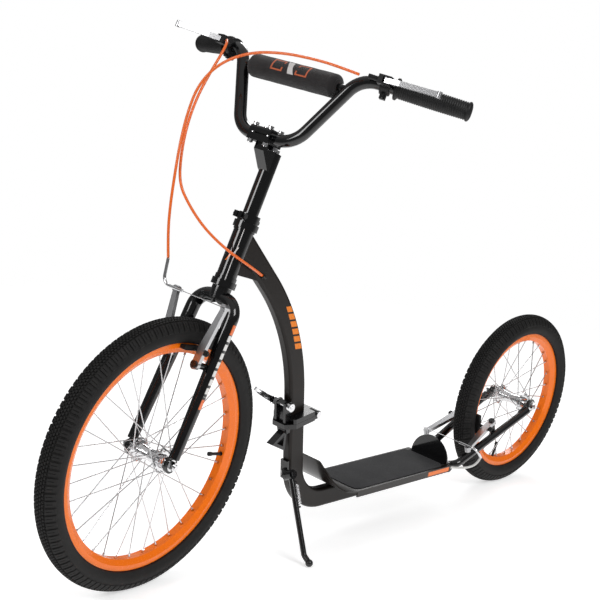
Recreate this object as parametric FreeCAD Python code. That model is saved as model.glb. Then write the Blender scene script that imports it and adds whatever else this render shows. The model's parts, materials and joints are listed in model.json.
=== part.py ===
import FreeCAD, Part
import math
import os
from FreeCAD import Vector

# A folding kick scooter with spoked wheels, modelled in millimetres.
# It is drawn upright and steering straight ahead: +X forward, +Y to the rider's left, +Z up, with the
# front axle above X = 0. At the end the steered parts are turned by steer_at_rest, the whole scooter is
# leaned over onto its side stand, and the middle of its footprint is moved to the origin.

# ---- overall sizes -------------------------------------------------------------------------------
wheelbase = 1120.0
front_tyre_radius = 251.0
rear_tyre_radius = 200.5
tyre_section_radius = 25.0
lean_on_stand = 5.0            # degrees, towards the stand
steer_at_rest = 3.2            # degrees, to the left
head_angle = 71.3              # degrees from the ground
head_axis_x = -137.1           # the steering axis passes through this X ...
head_axis_z = 600.0            # ... at this height
running_gap = 0.05             # radial clearance of a shaft in its bearing
joint_gap = 0.4                # gap between faces that move past each other
seat_gap = 0.05                # gap between parts that are bolted or pushed together

# ---- wheels --------------------------------------------------------------------------------------
rim_flange_over_bead = 5.5
front_bead_radius = 203.5
rear_bead_radius = 154.5
rim_half_width = 14.0
rim_depth = 19.0
rim_wall = 1.8
tyre_wall = 3.5
inner_tube_wall = 1.2
valve_radius = 4.0
valve_length = 34.0
spoke_radius = 1.0
nipple_radius = 2.1
nipple_length = 11.0
front_spoke_count = 36
front_spoke_crosses = 3
rear_spoke_count = 28
rear_spoke_crosses = 2
hub_flange_radius = 22.0
hub_flange_thickness = 2.4
hub_hole_circle = 19.5
hub_barrel_radius = 14.0
hub_waist_radius = 11.0
front_flange_half_spacing = 29.0
rear_flange_half_spacing = 32.0
hub_nose_length = 9.0
spoke_head_offset = 4.1
axle_radius = 4.75
cone_radius = 8.0
cone_length = 7.0
axle_nut_radius = 8.5
axle_nut_height = 8.0
washer_radius = 10.5
washer_height = 1.6
front_dropout_half_gap = 46.0
rear_dropout_half_gap = 50.0
dropout_thickness = 5.0

# ---- head, fork and stem (s runs up the steering axis, f forward of it) --------------------------
head_tube_radius = 18.0
head_tube_bore = 15.4
head_tube_bottom = -45.0
head_tube_top = 50.0
cup_radius = 22.5
cup_height = 12.0
cup_cavity_radius = 18.4
bearing_ball_radius = 2.0
bearing_ball_count = 20
steerer_radius = 12.7
steerer_bore = 11.15
crown_drop = 27.0              # steerer bottom to the blade shoulders' centre line
blade_top_radius = 13.0
blade_end_radius = 9.5
blade_top_half_spacing = 45.0
blade_end_half_spacing = 52.0
shoulder_bend_radius = 30.0
fork_rake = 18.1
collar_radius = 19.5
collar_height = 15.0
collar_bolt_radius = 3.0
stem_radius = 14.0
stem_top = 192.0
quill_insertion = 70.0
clamp_rise = 211.0             # height of the bar's centre line along the steering axis
clamp_reach = 37.0             # forward of the steering axis
clamp_half_width = 24.0
clamp_block_radius = 19.0
clamp_split_gap = 2.0
clamp_bolt_radius = 3.0
clamp_bolt_head_radius = 5.0

# ---- handlebar -----------------------------------------------------------------------------------
bar_radius = 11.1
bar_wall = 1.8
bar_base_half = 62.0           # half the flat base, to the intersection of the bend
bar_shoulder_half = 135.0
bar_shoulder_rise = 354.0
bar_upright_reach = 22.0
bar_bend_radius = 52.0
bar_end_half = 308.0
bar_end_rise = 360.0
bar_end_reach = -61.4
crossbar_rise = 329.0
crossbar_radius = 6.5
pad_radius = 21.0
grip_radius = 16.0
grip_length = 130.0
grip_flange_radius = 19.0
lever_perch_from_end = 147.0
lever_length = 88.0
lever_reach = 46.0             # bar centre to the blade's tip
lever_pivot_reach = 26.0
lever_rise = 3.0
slack_lever_angle = 30.0       # the right lever rests this much further out
bracket_width = 16.0
barrel_length = 36.0

# ---- frame ---------------------------------------------------------------------------------------
tube_depth = 40.0
tube_width = 22.0
tube_corner = 6.0
tube_wall = 2.2
hinge_x = -364.0
hinge_z = 270.0
tube_tilt = 11.0               # lean of the tube at the hinge, degrees from vertical
main_tube_straight = 50.0      # straight run above the hinge
main_tube_bend_radius = 432.0
main_tube_top_tilt = 45.0
lower_bend_radius = 92.0
deck_tube_end = -862.0
hinge_plate_thickness = 10.0
hinge_plate_half_width = 30.0
hinge_plate_front = 42.0
hinge_pin_back = 36.0
hinge_pin_radius = 4.0
hinge_knuckle_radius = 8.0
hinge_centre_knuckle = 24.0
quick_release_forward = 30.0
quick_release_height = 34.0
ear_inner_half = 9.0
ear_thickness = 6.0
thumb_nut_radius = 8.0

# ---- deck ----------------------------------------------------------------------------------------
deck_top = 105.0
deck_sheet = 3.0
deck_front_x = -528.0
deck_rear_x = -838.0
deck_half_width = 59.0
deck_flange_height = 14.0
lip_radius = 100.0
lip_angle = 72.0
lip_top_half_width = 38.0
grip_sheet_thickness = 1.5
grip_sheet_margin = 6.0
guard_radius = 49.0
guard_thickness = 3.0
guard_foot_length = 12.0
stay_radius = 8.5
stay_start_x = -868.0
stay_start_half = 36.0
stay_end_half = 57.5
dropout_plate_radius = 15.0

# ---- rim brakes ----------------------------------------------------------------------------------
boss_inside_rim = 26.0         # boss below the rim's bead seat, towards the hub
boss_half_spacing = 42.0
boss_radius = 4.0
boss_length = 30.0
arm_length = 108.0
arm_top_half = 58.0
arm_thickness = 8.0
arm_width = 12.0
arm_stand_off = 22.0
pad_length = 48.0
pad_height = 8.0
pad_thickness = 11.0
pad_to_rim = 1.8
cable_radius = 2.5
wire_radius = 0.8
noodle_radius = 2.8
noodle_bend_radius = 16.0

# ---- side stand ----------------------------------------------------------------------------------
stand_pivot = Vector(-352.0, 26.0, 160.0)
stand_axis_tilt = 27.0
stand_leg_radius = 5.5
stand_foot_radius = 7.5
stand_eye_half = 6.0
stand_foot_forward = -336.0
stand_foot_out = 119.0
spring_radius = 5.0
spring_wire = 0.9

# ---- cable routes, chosen by hand in steering coordinates (s, f, y) ------------------------------
front_cable_route = [
    (354.0, 45.0, 146.0), (357.0, 56.0, 100.0), (356.0, 66.0, 52.0), (351.0, 77.0, 0.0),
    (336.0, 90.0, -55.0), (303.0, 102.0, -101.0), (255.0, 111.0, -122.0), (200.0, 114.0, -119.0),
    (145.0, 113.0, -110.0), (92.0, 109.0, -99.0), (40.0, 97.0, -94.0), (-6.0, 80.0, -91.0),
    (-44.0, 62.0, -86.5)]
rear_cable_route = [
    (356.0, 42.0, -160.0), (348.0, 57.0, -143.0), (322.0, 67.0, -138.0), (283.0, 82.0, -133.0),
    (235.0, 96.0, -128.0), (182.0, 103.0, -120.0), (130.0, 103.0, -108.0), (82.0, 96.0, -94.0),
    (52.0, 81.0, -66.0), (28.0, 66.0, -35.0), (12.0, 50.0, -5.0), (2.0, 32.0, 18.0),
    (-4.0, 4.0, 26.5), (-9.0, -32.0, 26.0), (-14.0, -68.0, 20.0)]
# the last stretch at the back, in upright scooter coordinates (x, y, z)
tail_cable_route = [
    (-842.0, 50.0, 97.0), (-862.0, 58.0, 95.0), (-884.0, 71.0, 96.0), (-900.0, 82.0, 105.0),
    (-904.0, 86.0, 119.0)]


# ---- geometry helpers ----------------------------------------------------------------------------
def unit(vector):
    """The vector at length one."""
    return vector * (1.0 / vector.Length)


def fused(pieces):
    """One solid from pieces that overlap or share faces."""
    pieces = list(pieces)
    if len(pieces) == 1:
        return pieces[0]
    return pieces[0].fuse(pieces[1:]).removeSplitter()


def rod(start, end, radius):
    """A solid cylinder from start to end."""
    return Part.makeCylinder(radius, (end - start).Length, start, end - start)


def ring(start, end, outer, inner):
    """A round tube from start to end."""
    reach = unit(end - start)
    return rod(start, end, outer).cut(rod(start - reach, end + reach, inner))


def cone(start, end, start_radius, end_radius):
    """A tapered rod from start to end."""
    return Part.makeCone(start_radius, end_radius, (end - start).Length, start, end - start)


def hexagon(start, end, across_corners_radius):
    """A hexagonal prism from start to end, such as a nut."""
    along = unit(end - start)
    side = unit(along.cross(Vector(0.31, 0.22, 0.93)))
    other = along.cross(side)
    corners = []
    for index in range(6):
        angle = math.radians(60 * index)
        corners.append(start + (side * math.cos(angle) + other * math.sin(angle)) * across_corners_radius)
    return prism(corners, end - start)


def prism(corners, step):
    """A polygon carried straight along step."""
    return Part.Face(Part.makePolygon(list(corners) + [corners[0]])).extrude(step)


def turned_about_y(profile, centre):
    """A closed profile of (radius, y) points turned about the Y-parallel line through centre."""
    corners = [centre + Vector(radius, y, 0) for radius, y in profile]
    face = Part.Face(Part.makePolygon(corners + [corners[0]]))
    return face.revolve(centre, Vector(0, 1, 0), 360)


def disc_face(centre, normal, outer, inner=0.0):
    """A flat disc, or a flat ring when inner is given."""
    face = Part.Face(Part.Wire(Part.makeCircle(outer, centre, normal)))
    if inner > 0:
        face = face.cut(Part.Face(Part.Wire(Part.makeCircle(inner, centre, normal)))).Faces[0]
    return face


def rounded_face(centre, long_side, short_side, length, width, corner):
    """A flat rounded rectangle spanned by two unit vectors, with round arcs at its corners."""
    corner_centres = []
    for sx, sy in ((1, 1), (-1, 1), (-1, -1), (1, -1)):
        corner_centres.append((sx * (length / 2 - corner), sy * (width / 2 - corner)))

    def arc_point(index, degrees):
        along, across = corner_centres[index % 4]
        along += corner * math.cos(math.radians(degrees))
        across += corner * math.sin(math.radians(degrees))
        return centre + long_side * along + short_side * across

    edges = []
    for index in range(4):
        begin = 90 * index
        arc = [arc_point(index, begin + step) for step in (0, 45, 90)]
        edges.append(Part.Arc(*arc).toShape())
        edges.append(Part.makeLine(arc[2], arc_point(index + 1, begin + 90)))
    return Part.Face(Part.Wire(edges))


def turn_between(first, second):
    """The angle in radians between two directions."""
    cosine = max(-1.0, min(1.0, unit(first).dot(unit(second))))
    return math.acos(cosine)


def swept(points, bend_radii, face):
    """Carry a face, lying at the first point, along straight runs joined by tangent arcs."""
    pieces = []
    at = points[0]
    for index in range(1, len(points)):
        heading = unit(points[index] - at)
        cut_back = 0.0
        if index < len(points) - 1:
            ahead = unit(points[index + 1] - points[index])
            turn = turn_between(heading, ahead)
            cut_back = bend_radii[index - 1] * math.tan(turn / 2)
        step = heading * ((points[index] - at).Length - cut_back)
        pieces.append(face.extrude(step))
        face = face.translated(step)
        at = at + step
        if cut_back > 0:
            axis = unit(heading.cross(ahead))
            centre = at + axis.cross(heading) * bend_radii[index - 1]
            pieces.append(face.revolve(centre, axis, math.degrees(turn)))
            face = face.copy()
            face.rotate(centre, axis, math.degrees(turn))
            at = points[index] + ahead * cut_back
    return fused(pieces)


def easy_radii(points):
    """The largest easy bend at each inner point: 0.45 of the shorter run over the half turn's tangent."""
    radii = []
    for before, here, after in zip(points, points[1:], points[2:]):
        turn = turn_between(here - before, after - here)
        shorter = min((here - before).Length, (after - here).Length)
        radii.append(0.45 * shorter / math.tan(turn / 2))
    return radii


def cord(points, radius):
    """A round cord along a route, with its bends as large as its runs allow."""
    heading = points[1] - points[0]
    radii = easy_radii(points)
    print("cord bends", [round(value) for value in radii])
    return swept(points, radii, disc_face(points[0], heading, radius))


# ---- reference points ----------------------------------------------------------------------------
front_hub = Vector(0, 0, front_tyre_radius)
rear_hub = Vector(-wheelbase, 0, rear_tyre_radius)
side = Vector(0, 1, 0)
head_point = Vector(head_axis_x, 0, head_axis_z)
up_axis = Vector(-math.cos(math.radians(head_angle)), 0, math.sin(math.radians(head_angle)))
fore_axis = Vector(math.sin(math.radians(head_angle)), 0, math.cos(math.radians(head_angle)))
hub_drop = (front_hub - head_point).dot(up_axis)


def head(s, f, y=0.0):
    """A point s up the steering axis, f in front of it and y to the left."""
    return head_point + up_axis * s + fore_axis * f + side * y


def turned_with_bars(point):
    """Where a point of the steered parts stands once they are turned to their rest angle."""
    return FreeCAD.Rotation(up_axis, steer_at_rest).multVec(point - head_point) + head_point


tilt = math.radians(tube_tilt)
hinge_point = Vector(hinge_x, 0, hinge_z)
hinge_up = Vector(math.sin(tilt), 0, math.cos(tilt))
hinge_fore = Vector(math.cos(tilt), 0, -math.sin(tilt))


def hinge(w, u, y=0.0):
    """A point w in front of the tube's centre line and u above the hinge's parting face."""
    return hinge_point + hinge_fore * w + hinge_up * u + side * y


stay_slope = math.atan2(rear_tyre_radius - (deck_top - 9.0), stay_start_x + wheelbase)
stay_out = Vector(math.cos(stay_slope), 0, -math.sin(stay_slope))
stay_up = Vector(math.sin(stay_slope), 0, math.cos(stay_slope))


def front_brake(r, f, y=0.0):
    """A point r up from the front hub along the fork, f in front of the hub."""
    return front_hub + up_axis * r + fore_axis * f + side * y


def rear_brake(r, f, y=0.0):
    """A point r from the rear hub along the stays, f above them."""
    return rear_hub + stay_out * r + stay_up * f + side * y


# ---- wheels --------------------------------------------------------------------------------------
def polar(centre, radius, degrees, y=0.0):
    """A point in a wheel's plane, measured from straight ahead towards up."""
    angle = math.radians(degrees)
    return centre + Vector(radius * math.cos(angle), y, radius * math.sin(angle))


def make_tyre(centre, bead, outer):
    """A hollow casing, open towards the rim, with a thicker bead on each side."""
    crown = outer - tyre_section_radius
    middle = centre + Vector(crown, 0, 0)
    casing = disc_face(middle, Vector(0, 0, 1), tyre_section_radius, tyre_section_radius - tyre_wall)
    casing = casing.revolve(centre, side, 360)
    bead_outside = rim_half_width - rim_wall - seat_gap
    bead_inside = bead_outside - tyre_wall
    flange_top = bead + rim_flange_over_bead + seat_gap
    bead_foot = bead + seat_gap
    well = [(bead - tyre_section_radius, -rim_half_width), (bead_foot, -rim_half_width),
            (bead_foot, rim_half_width), (bead - tyre_section_radius, rim_half_width)]
    casing = casing.cut(turned_about_y(well, centre))
    mouth = [(bead, -bead_inside), (crown - tyre_wall, -bead_inside), (crown - tyre_wall, bead_inside),
             (bead, bead_inside)]
    casing = casing.cut(turned_about_y(mouth, centre))
    for sign in (-1, 1):
        shoulder = [(bead_foot, sign * bead_outside), (flange_top, sign * bead_outside),
                    (flange_top, sign * tyre_section_radius), (bead_foot, sign * tyre_section_radius)]
        casing = casing.cut(turned_about_y(shoulder, centre))
    pieces = [casing]
    for sign in (-1, 1):
        lip = [(bead_foot, sign * bead_inside), (bead_foot, sign * bead_outside),
               (flange_top, sign * bead_outside), (flange_top, sign * (bead_outside + tyre_wall)),
               (flange_top + tyre_wall, sign * (bead_outside + 2 * tyre_wall)),
               (flange_top + tyre_wall, sign * (bead_inside + tyre_wall))]
        pieces.append(turned_about_y(lip, centre))
    return fused(pieces)


def make_inner_tube(centre, bead, outer, valve_angle):
    """The air tube with its valve stem, which comes out through the rim."""
    crown = outer - tyre_section_radius + 3.0
    tube_radius = tyre_section_radius - tyre_wall - 4.0
    middle = centre + Vector(crown, 0, 0)
    section = disc_face(middle, Vector(0, 0, 1), tube_radius, tube_radius - inner_tube_wall)
    tube = section.revolve(centre, side, 360)
    stem_foot = polar(centre, crown - tube_radius + inner_tube_wall / 2, valve_angle)
    stem_tip = polar(centre, bead - rim_depth - valve_length + rim_flange_over_bead, valve_angle)
    cap_top = polar(centre, bead - rim_depth - valve_length + 12.0, valve_angle)
    return fused([tube, rod(stem_foot, stem_tip, valve_radius - 1.0), rod(cap_top, stem_tip, valve_radius)])


def rim_inner_radius(bead):
    """The radius of the rim's inner face, where the nipples sit."""
    return bead + rim_flange_over_bead - rim_depth


def make_rim(centre, bead, spoke_count, valve_angle):
    """A double-walled rim with hooked flanges, a hole for each nipple and one for the valve."""
    flange = bead + rim_flange_over_bead
    inner = rim_inner_radius(bead)
    in_wall = rim_half_width - rim_wall
    outline = [(flange, -rim_half_width), (flange, -in_wall), (bead, -in_wall), (bead, in_wall),
               (flange, in_wall), (flange, rim_half_width), (bead - 4.0, rim_half_width),
               (inner, rim_half_width - 6.0), (inner, 6.0 - rim_half_width), (bead - 4.0, -rim_half_width)]
    hollow = [(bead - rim_wall, -in_wall), (bead - rim_wall, in_wall), (bead - 4.0, in_wall),
              (inner + rim_wall, in_wall - 6.0), (inner + rim_wall, 6.0 - in_wall), (bead - 4.0, -in_wall)]
    rim = turned_about_y(outline, centre).cut(turned_about_y(hollow, centre))
    drills = []
    for index in range(spoke_count):
        angle = spoke_angle(index, spoke_count)
        drills.append(rod(polar(centre, inner - 1, angle), polar(centre, bead - rim_wall - 1, angle),
                          nipple_radius + 0.5))
    drills.append(rod(polar(centre, inner - 1, valve_angle), polar(centre, bead + 1, valve_angle),
                      valve_radius + 0.3))
    return rim.cut(Part.makeCompound(drills))


def spoke_angle(index, spoke_count):
    """Where a spoke meets the rim, half a step away from the valve hole's line."""
    return 360.0 * (index + 0.5) / spoke_count


def spoke_lay(index, spoke_count, crosses):
    """A spoke's flange (+1 or -1), +1 when it leaves the flange's outer face, and its angle at the hub."""
    flange = 1 if index % 2 == 0 else -1
    outside = 1 if (index // 2) % 2 == 0 else -1
    hub_angle = spoke_angle(index, spoke_count) + outside * crosses * 720.0 / spoke_count
    return flange, outside, hub_angle


def spoke_run(centre, bead, index, spoke_count, crosses, flange_half):
    """A spoke's three points: its head, its elbow on the other face of the flange, and its end in the rim."""
    flange, outside, hub_angle = spoke_lay(index, spoke_count, crosses)
    head_end = polar(centre, hub_hole_circle, hub_angle, flange * (flange_half - outside * spoke_head_offset))
    elbow = polar(centre, hub_hole_circle, hub_angle, flange * (flange_half + outside * spoke_head_offset))
    rim_end = polar(centre, rim_inner_radius(bead) + 1.0, spoke_angle(index, spoke_count))
    return head_end, elbow, rim_end


def make_spokes(centre, bead, spoke_count, crosses, flange_half):
    """Crossed spokes: each has a head, an elbow through its flange and a straight stretch to the rim."""
    spokes = []
    for index in range(spoke_count):
        head_end, elbow, rim_end = spoke_run(centre, bead, index, spoke_count, crosses, flange_half)
        spokes.append(fused([rod(head_end, elbow, spoke_radius), rod(elbow, rim_end, spoke_radius),
                             Part.makeSphere(spoke_radius, elbow),
                             Part.makeSphere(spoke_radius * 1.6, head_end)]))
    return Part.makeCompound(spokes)


def make_nipples(centre, bead, spoke_count, crosses, flange_half):
    """The nuts that pull the spokes tight, one through each rim hole and in line with its spoke."""
    nipples = []
    for index in range(spoke_count):
        _, elbow, rim_end = spoke_run(centre, bead, index, spoke_count, crosses, flange_half)
        outward = unit(rim_end - elbow)
        head_seat = rim_end + outward * 2.0
        head_top = head_seat + outward * 2.0
        tip = head_top - outward * nipple_length
        nipple = fused([rod(tip, head_top, nipple_radius), rod(head_seat, head_top, nipple_radius + 1.0)])
        nipples.append(nipple.cut(rod(tip - outward, rim_end + outward * 0.5, spoke_radius + seat_gap)))
    return Part.makeCompound(nipples)


def make_hub(centre, spoke_count, crosses, flange_half):
    """A turned hub shell with two drilled flanges and a bearing pocket at each end."""
    flange_in = flange_half - hub_flange_thickness / 2
    flange_out = flange_half + hub_flange_thickness / 2
    nose = flange_out + hub_nose_length
    bore = axle_radius + 1.5
    pocket = cone_radius + running_gap
    pocket_depth = nose - cone_length
    outline = [(bore, -pocket_depth), (pocket, -pocket_depth), (pocket, -nose), (hub_waist_radius, -nose),
               (hub_waist_radius + 2, -flange_out), (hub_flange_radius, -flange_out),
               (hub_flange_radius, -flange_in), (hub_barrel_radius, -flange_in + 4),
               (hub_waist_radius, 0), (hub_barrel_radius, flange_in - 4),
               (hub_flange_radius, flange_in), (hub_flange_radius, flange_out),
               (hub_waist_radius + 2, flange_out), (hub_waist_radius, nose), (pocket, nose),
               (pocket, pocket_depth), (bore, pocket_depth)]
    shell = turned_about_y(outline, centre)
    drills = []
    for index in range(spoke_count):
        flange, _, hub_angle = spoke_lay(index, spoke_count, crosses)
        drills.append(rod(polar(centre, hub_hole_circle, hub_angle, flange * (flange_half - 4)),
                          polar(centre, hub_hole_circle, hub_angle, flange * (flange_half + 4)),
                          spoke_radius + 0.15))
    return shell.cut(Part.makeCompound(drills))


def make_axle(centre, flange_half, dropout_half_gap):
    """The axle with the bearing cone and spacer that fill the space up to each dropout."""
    outer_face = dropout_half_gap + dropout_thickness + washer_height + axle_nut_height
    pieces = [rod(centre - side * (outer_face + 4), centre + side * (outer_face + 4), axle_radius)]
    cone_start = flange_half + hub_flange_thickness / 2 + hub_nose_length - cone_length + 0.5
    for sign in (-1, 1):
        pieces.append(rod(centre + side * (sign * cone_start),
                          centre + side * (sign * (dropout_half_gap - seat_gap)), cone_radius))
    return fused(pieces)


def make_axle_nuts(centre, dropout_half_gap):
    """A washer and a nut outside each dropout."""
    pieces = []
    for sign in (-1, 1):
        face = dropout_half_gap + dropout_thickness + seat_gap
        washer_start = centre + side * (sign * face)
        washer_end = centre + side * (sign * (face + washer_height))
        nut_start = washer_end + side * (sign * seat_gap)
        nut_end = nut_start + side * (sign * axle_nut_height)
        pieces.append(ring(washer_start, washer_end, washer_radius, axle_radius + seat_gap))
        nut = hexagon(nut_start, nut_end, axle_nut_radius)
        pieces.append(nut.cut(rod(nut_start - side * (9 * sign), nut_end + side * (9 * sign),
                                  axle_radius + seat_gap)))
    return Part.makeCompound(pieces)


# ---- rim brakes ----------------------------------------------------------------------------------
def boss_height(bead):
    """The pivot boss's distance from the hub."""
    return bead - boss_inside_rim


def make_brake_arm(at, bead, sign):
    """A brake arm from its pivot boss to the cable end, with its mounting bolt's head."""
    foot = boss_height(bead)
    top = foot + arm_length
    back = arm_stand_off
    through = at(0, arm_thickness) - at(0, 0)
    corners = []
    half = arm_width / 2
    for r, y in ((foot, boss_half_spacing - half - 1), (foot + 30, boss_half_spacing - half + 1),
                 (top, arm_top_half - half + 1), (top, arm_top_half + half - 1),
                 (foot + 34, boss_half_spacing + half + 5), (foot, boss_half_spacing + half + 2)):
        corners.append(at(r, back, sign * y))
    bar = prism(corners, through)
    pivot = rod(at(foot, back, sign * boss_half_spacing), at(foot, back, sign * boss_half_spacing) + through,
                half + 3)
    anchor = rod(at(top, back - 2, sign * arm_top_half),
                 at(top, back + arm_thickness + 2, sign * arm_top_half),
                 half)
    bore = rod(at(foot, back - 1, sign * boss_half_spacing),
               at(foot, back + arm_thickness + 1, sign * boss_half_spacing), boss_radius + running_gap)
    return fused([bar, pivot, anchor]).cut(bore)


def pad_place(at, bead):
    """The middle of the brake track, in line with the brake arm's mid plane."""
    track = bead - 0.5
    forward = arm_stand_off + arm_thickness / 2
    return track, forward, math.degrees(math.asin(forward / track))


def make_brake_pad(at, bead, sign):
    """A brake shoe beside the rim, with the post that passes through the arm and its nut."""
    track, forward, lean_back = pad_place(at, bead)
    height = math.sqrt(track ** 2 - forward ** 2)
    inner_y = rim_half_width + pad_to_rim
    middle = at(height, forward, sign * (inner_y + pad_thickness / 2))
    along = unit(at(0, 1) - at(0, 0))
    outward = unit(at(1, 0) - at(0, 0))
    face = rounded_face(middle - side * (pad_thickness / 2), along, outward, pad_length, pad_height, 2.5)
    shoe = face.extrude(side * pad_thickness)
    shoe.rotate(middle, side, lean_back * outward.cross(along).dot(side))
    arm_face = boss_half_spacing + 2.0
    post_start = at(height, forward, sign * (inner_y + pad_thickness - 1))
    post = rod(post_start, at(height, forward, sign * (arm_face + arm_width + 4)), 3.0)
    nut = hexagon(at(height, forward, sign * (arm_face + arm_width / 2 + 3)),
                  at(height, forward, sign * (arm_face + arm_width / 2 + 8)), 5.5)
    return fused([shoe, post, nut])


def pad_post_hole(at, bead, sign):
    """The hole through the arm for the shoe's post."""
    track, forward, _ = pad_place(at, bead)
    height = math.sqrt(track ** 2 - forward ** 2)
    return rod(at(height, forward, sign * (rim_half_width + pad_to_rim + pad_thickness)),
               at(height, forward, sign * (arm_top_half + arm_width)), 3.0 + seat_gap)


def make_bosses(at, bead):
    """Two pivot pins standing off the fork or the stays."""
    foot = boss_height(bead)
    pins = []
    for sign in (-1, 1):
        pins.append(rod(at(foot, -6, sign * boss_half_spacing),
                        at(foot, boss_length + 3, sign * boss_half_spacing), boss_radius))
        pins.append(rod(at(foot, -6, sign * boss_half_spacing),
                        at(foot, arm_stand_off - joint_gap, sign * boss_half_spacing), boss_radius + 2))
        pins.append(rod(at(foot, arm_stand_off + arm_thickness + joint_gap, sign * boss_half_spacing),
                        at(foot, boss_length + 3, sign * boss_half_spacing), boss_radius + 2.5))
    return pins


def make_noodle(at, bead, sign, tail):
    """The bent metal guide on one arm and the bare wire that reaches across to the other."""
    top = boss_height(bead) + arm_length
    level = arm_stand_off + arm_thickness + 2 + noodle_radius + 0.5
    near_end = at(top, level, sign * (arm_top_half - 22))
    corner = at(top, level, sign * (arm_top_half + 26))
    guide = swept([near_end, corner, tail], [noodle_bend_radius], disc_face(near_end, side, noodle_radius))
    wire = rod(near_end, at(top, level, -sign * (arm_top_half + 8)), wire_radius)
    return fused([guide, wire])


# ---- fork, headset and stem ----------------------------------------------------------------------
def make_fork():
    """Steerer, crown, two tapered blades, the plates that take the axle, and the brake pivots."""
    shoulder_s = head_tube_bottom - cup_height - crown_drop + 8
    crown_top = head_tube_bottom - cup_height - joint_gap
    pieces = [rod(head(shoulder_s - 4, 0), head(crown_top, 0), steerer_radius + 5),
              rod(head(shoulder_s, 0), head(head_tube_top + cup_height + collar_height, 0), steerer_radius)]
    blade_end_s = hub_drop + 12
    for sign in (-1, 1):
        root = head(shoulder_s, 0, sign * 4)
        shoulder = head(shoulder_s - 3, 0, sign * blade_top_half_spacing)
        end = head(blade_end_s, fork_rake, sign * blade_end_half_spacing)
        down = unit(end - shoulder)
        taper_start = shoulder + down * (shoulder_bend_radius * 1.4)
        face = disc_face(root, shoulder - root, blade_top_radius)
        pieces.append(swept([root, shoulder, taper_start], [shoulder_bend_radius], face))
        pieces.append(cone(taper_start, end, blade_top_radius, blade_end_radius))
        plate_in = side * (sign * front_dropout_half_gap)
        plate_out = side * (sign * (front_dropout_half_gap + dropout_thickness))
        pieces.append(rod(front_hub + plate_in, front_hub + plate_out, dropout_plate_radius))
        strap = [head(hub_drop, fork_rake - 9), head(hub_drop, fork_rake + 9),
                 head(blade_end_s + 16, fork_rake + 8), head(blade_end_s + 16, fork_rake - 8)]
        pieces.append(prism([corner + plate_in for corner in strap], plate_out - plate_in))
    fork = fused(pieces + make_bosses(front_brake, front_bead_radius))
    fork = fork.cut(rod(head(shoulder_s - 30, 0), head(head_tube_top + 60, 0), steerer_bore))
    reach = front_dropout_half_gap + dropout_thickness + 10
    return fork.cut(rod(front_hub - side * reach, front_hub + side * reach, axle_radius + seat_gap))


def make_headset_cups():
    """The two bearing cups, pushed into the ends of the head tube."""
    cups = []
    for end, outward in ((head_tube_bottom, -1), (head_tube_top, 1)):
        cup = ring(head(end, 0), head(end + outward * cup_height, 0), cup_radius, steerer_radius + joint_gap)
        cavity_start = head(end + outward * 3, 0)
        cavity_end = head(end + outward * (cup_height - 3), 0)
        cup = cup.cut(ring(cavity_start, cavity_end, cup_cavity_radius, steerer_radius))
        skirt = ring(head(end - outward * 8, 0), head(end, 0), head_tube_bore - seat_gap,
                     steerer_radius + joint_gap)
        cups.append(fused([cup, skirt]))
    return Part.makeCompound(cups)


def make_headset_balls():
    """A ring of steel balls in each cup."""
    balls = []
    circle = (cup_cavity_radius + steerer_radius) / 2
    for level in (head_tube_bottom - cup_height / 2, head_tube_top + cup_height / 2):
        for index in range(bearing_ball_count):
            angle = math.radians(360 * index / bearing_ball_count)
            balls.append(Part.makeSphere(bearing_ball_radius,
                                         head(level, circle * math.cos(angle), circle * math.sin(angle))))
    return Part.makeCompound(balls)


def make_headset_collar():
    """The split collar that grips the steerer and the stem, with its pinch bolt in front."""
    base = head_tube_top + cup_height + joint_gap
    top = base + collar_height
    collar = rod(head(base, 0), head(top, 0), collar_radius)
    ears = prism([head(base + 2, 0, -9), head(base + 2, 0, 9), head(top - 2, 0, 9), head(top - 2, 0, -9)],
                 fore_axis * (collar_radius + 14))
    bolt_level = (base + top) / 2
    bolt_forward = collar_radius + 6
    bolt = rod(head(bolt_level, bolt_forward, -14), head(bolt_level, bolt_forward, 14), collar_bolt_radius)
    bolt_head = hexagon(head(bolt_level, bolt_forward, 9), head(bolt_level, bolt_forward, 14), 5.5)
    lever_stub = prism([head(base + 3, 0, -4), head(base + 3, 0, 4),
                        head(base + 9, 0, 4), head(base + 9, 0, -4)],
                       fore_axis * -(collar_radius + 9))
    collar = fused([collar, ears, bolt, bolt_head, lever_stub])
    slit = prism([head(base - 1, 0, -1), head(base - 1, 0, 1), head(top + 1, 0, 1), head(top + 1, 0, -1)],
                 fore_axis * (collar_radius + 20))
    collar = fused([collar.cut(slit), bolt])
    return collar.cut(rod(head(base - 5, 0), head(top + 5, 0), steerer_radius + seat_gap))


def clamp_bolt_places():
    """Where the four handlebar clamp bolts stand, as (f, y)."""
    reach = bar_radius + clamp_bolt_radius + 1.2
    return [(clamp_reach + sf * reach, sy * (clamp_half_width - 7)) for sf in (-1, 1) for sy in (-1, 1)]


def clamp_half(low, high):
    """Half of the handlebar clamp, between two heights from the bar's centre line."""
    half = clamp_block_radius + 1
    block = prism([head(clamp_rise + low, clamp_reach - half, -clamp_half_width),
                   head(clamp_rise + low, clamp_reach + half, -clamp_half_width),
                   head(clamp_rise + high, clamp_reach + half, -clamp_half_width),
                   head(clamp_rise + high, clamp_reach - half, -clamp_half_width)],
                  side * (2 * clamp_half_width))
    return block


def cut_for_bar_and_bolts(block):
    """The bar's bore and the four bolt holes."""
    centre = head(clamp_rise, clamp_reach)
    block = block.cut(rod(centre - side * 40, centre + side * 40, bar_radius + seat_gap))
    holes = [rod(head(clamp_rise - 40, f, y), head(clamp_rise + 40, f, y), clamp_bolt_radius + seat_gap)
             for f, y in clamp_bolt_places()]
    return block.cut(Part.makeCompound(holes))


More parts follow.
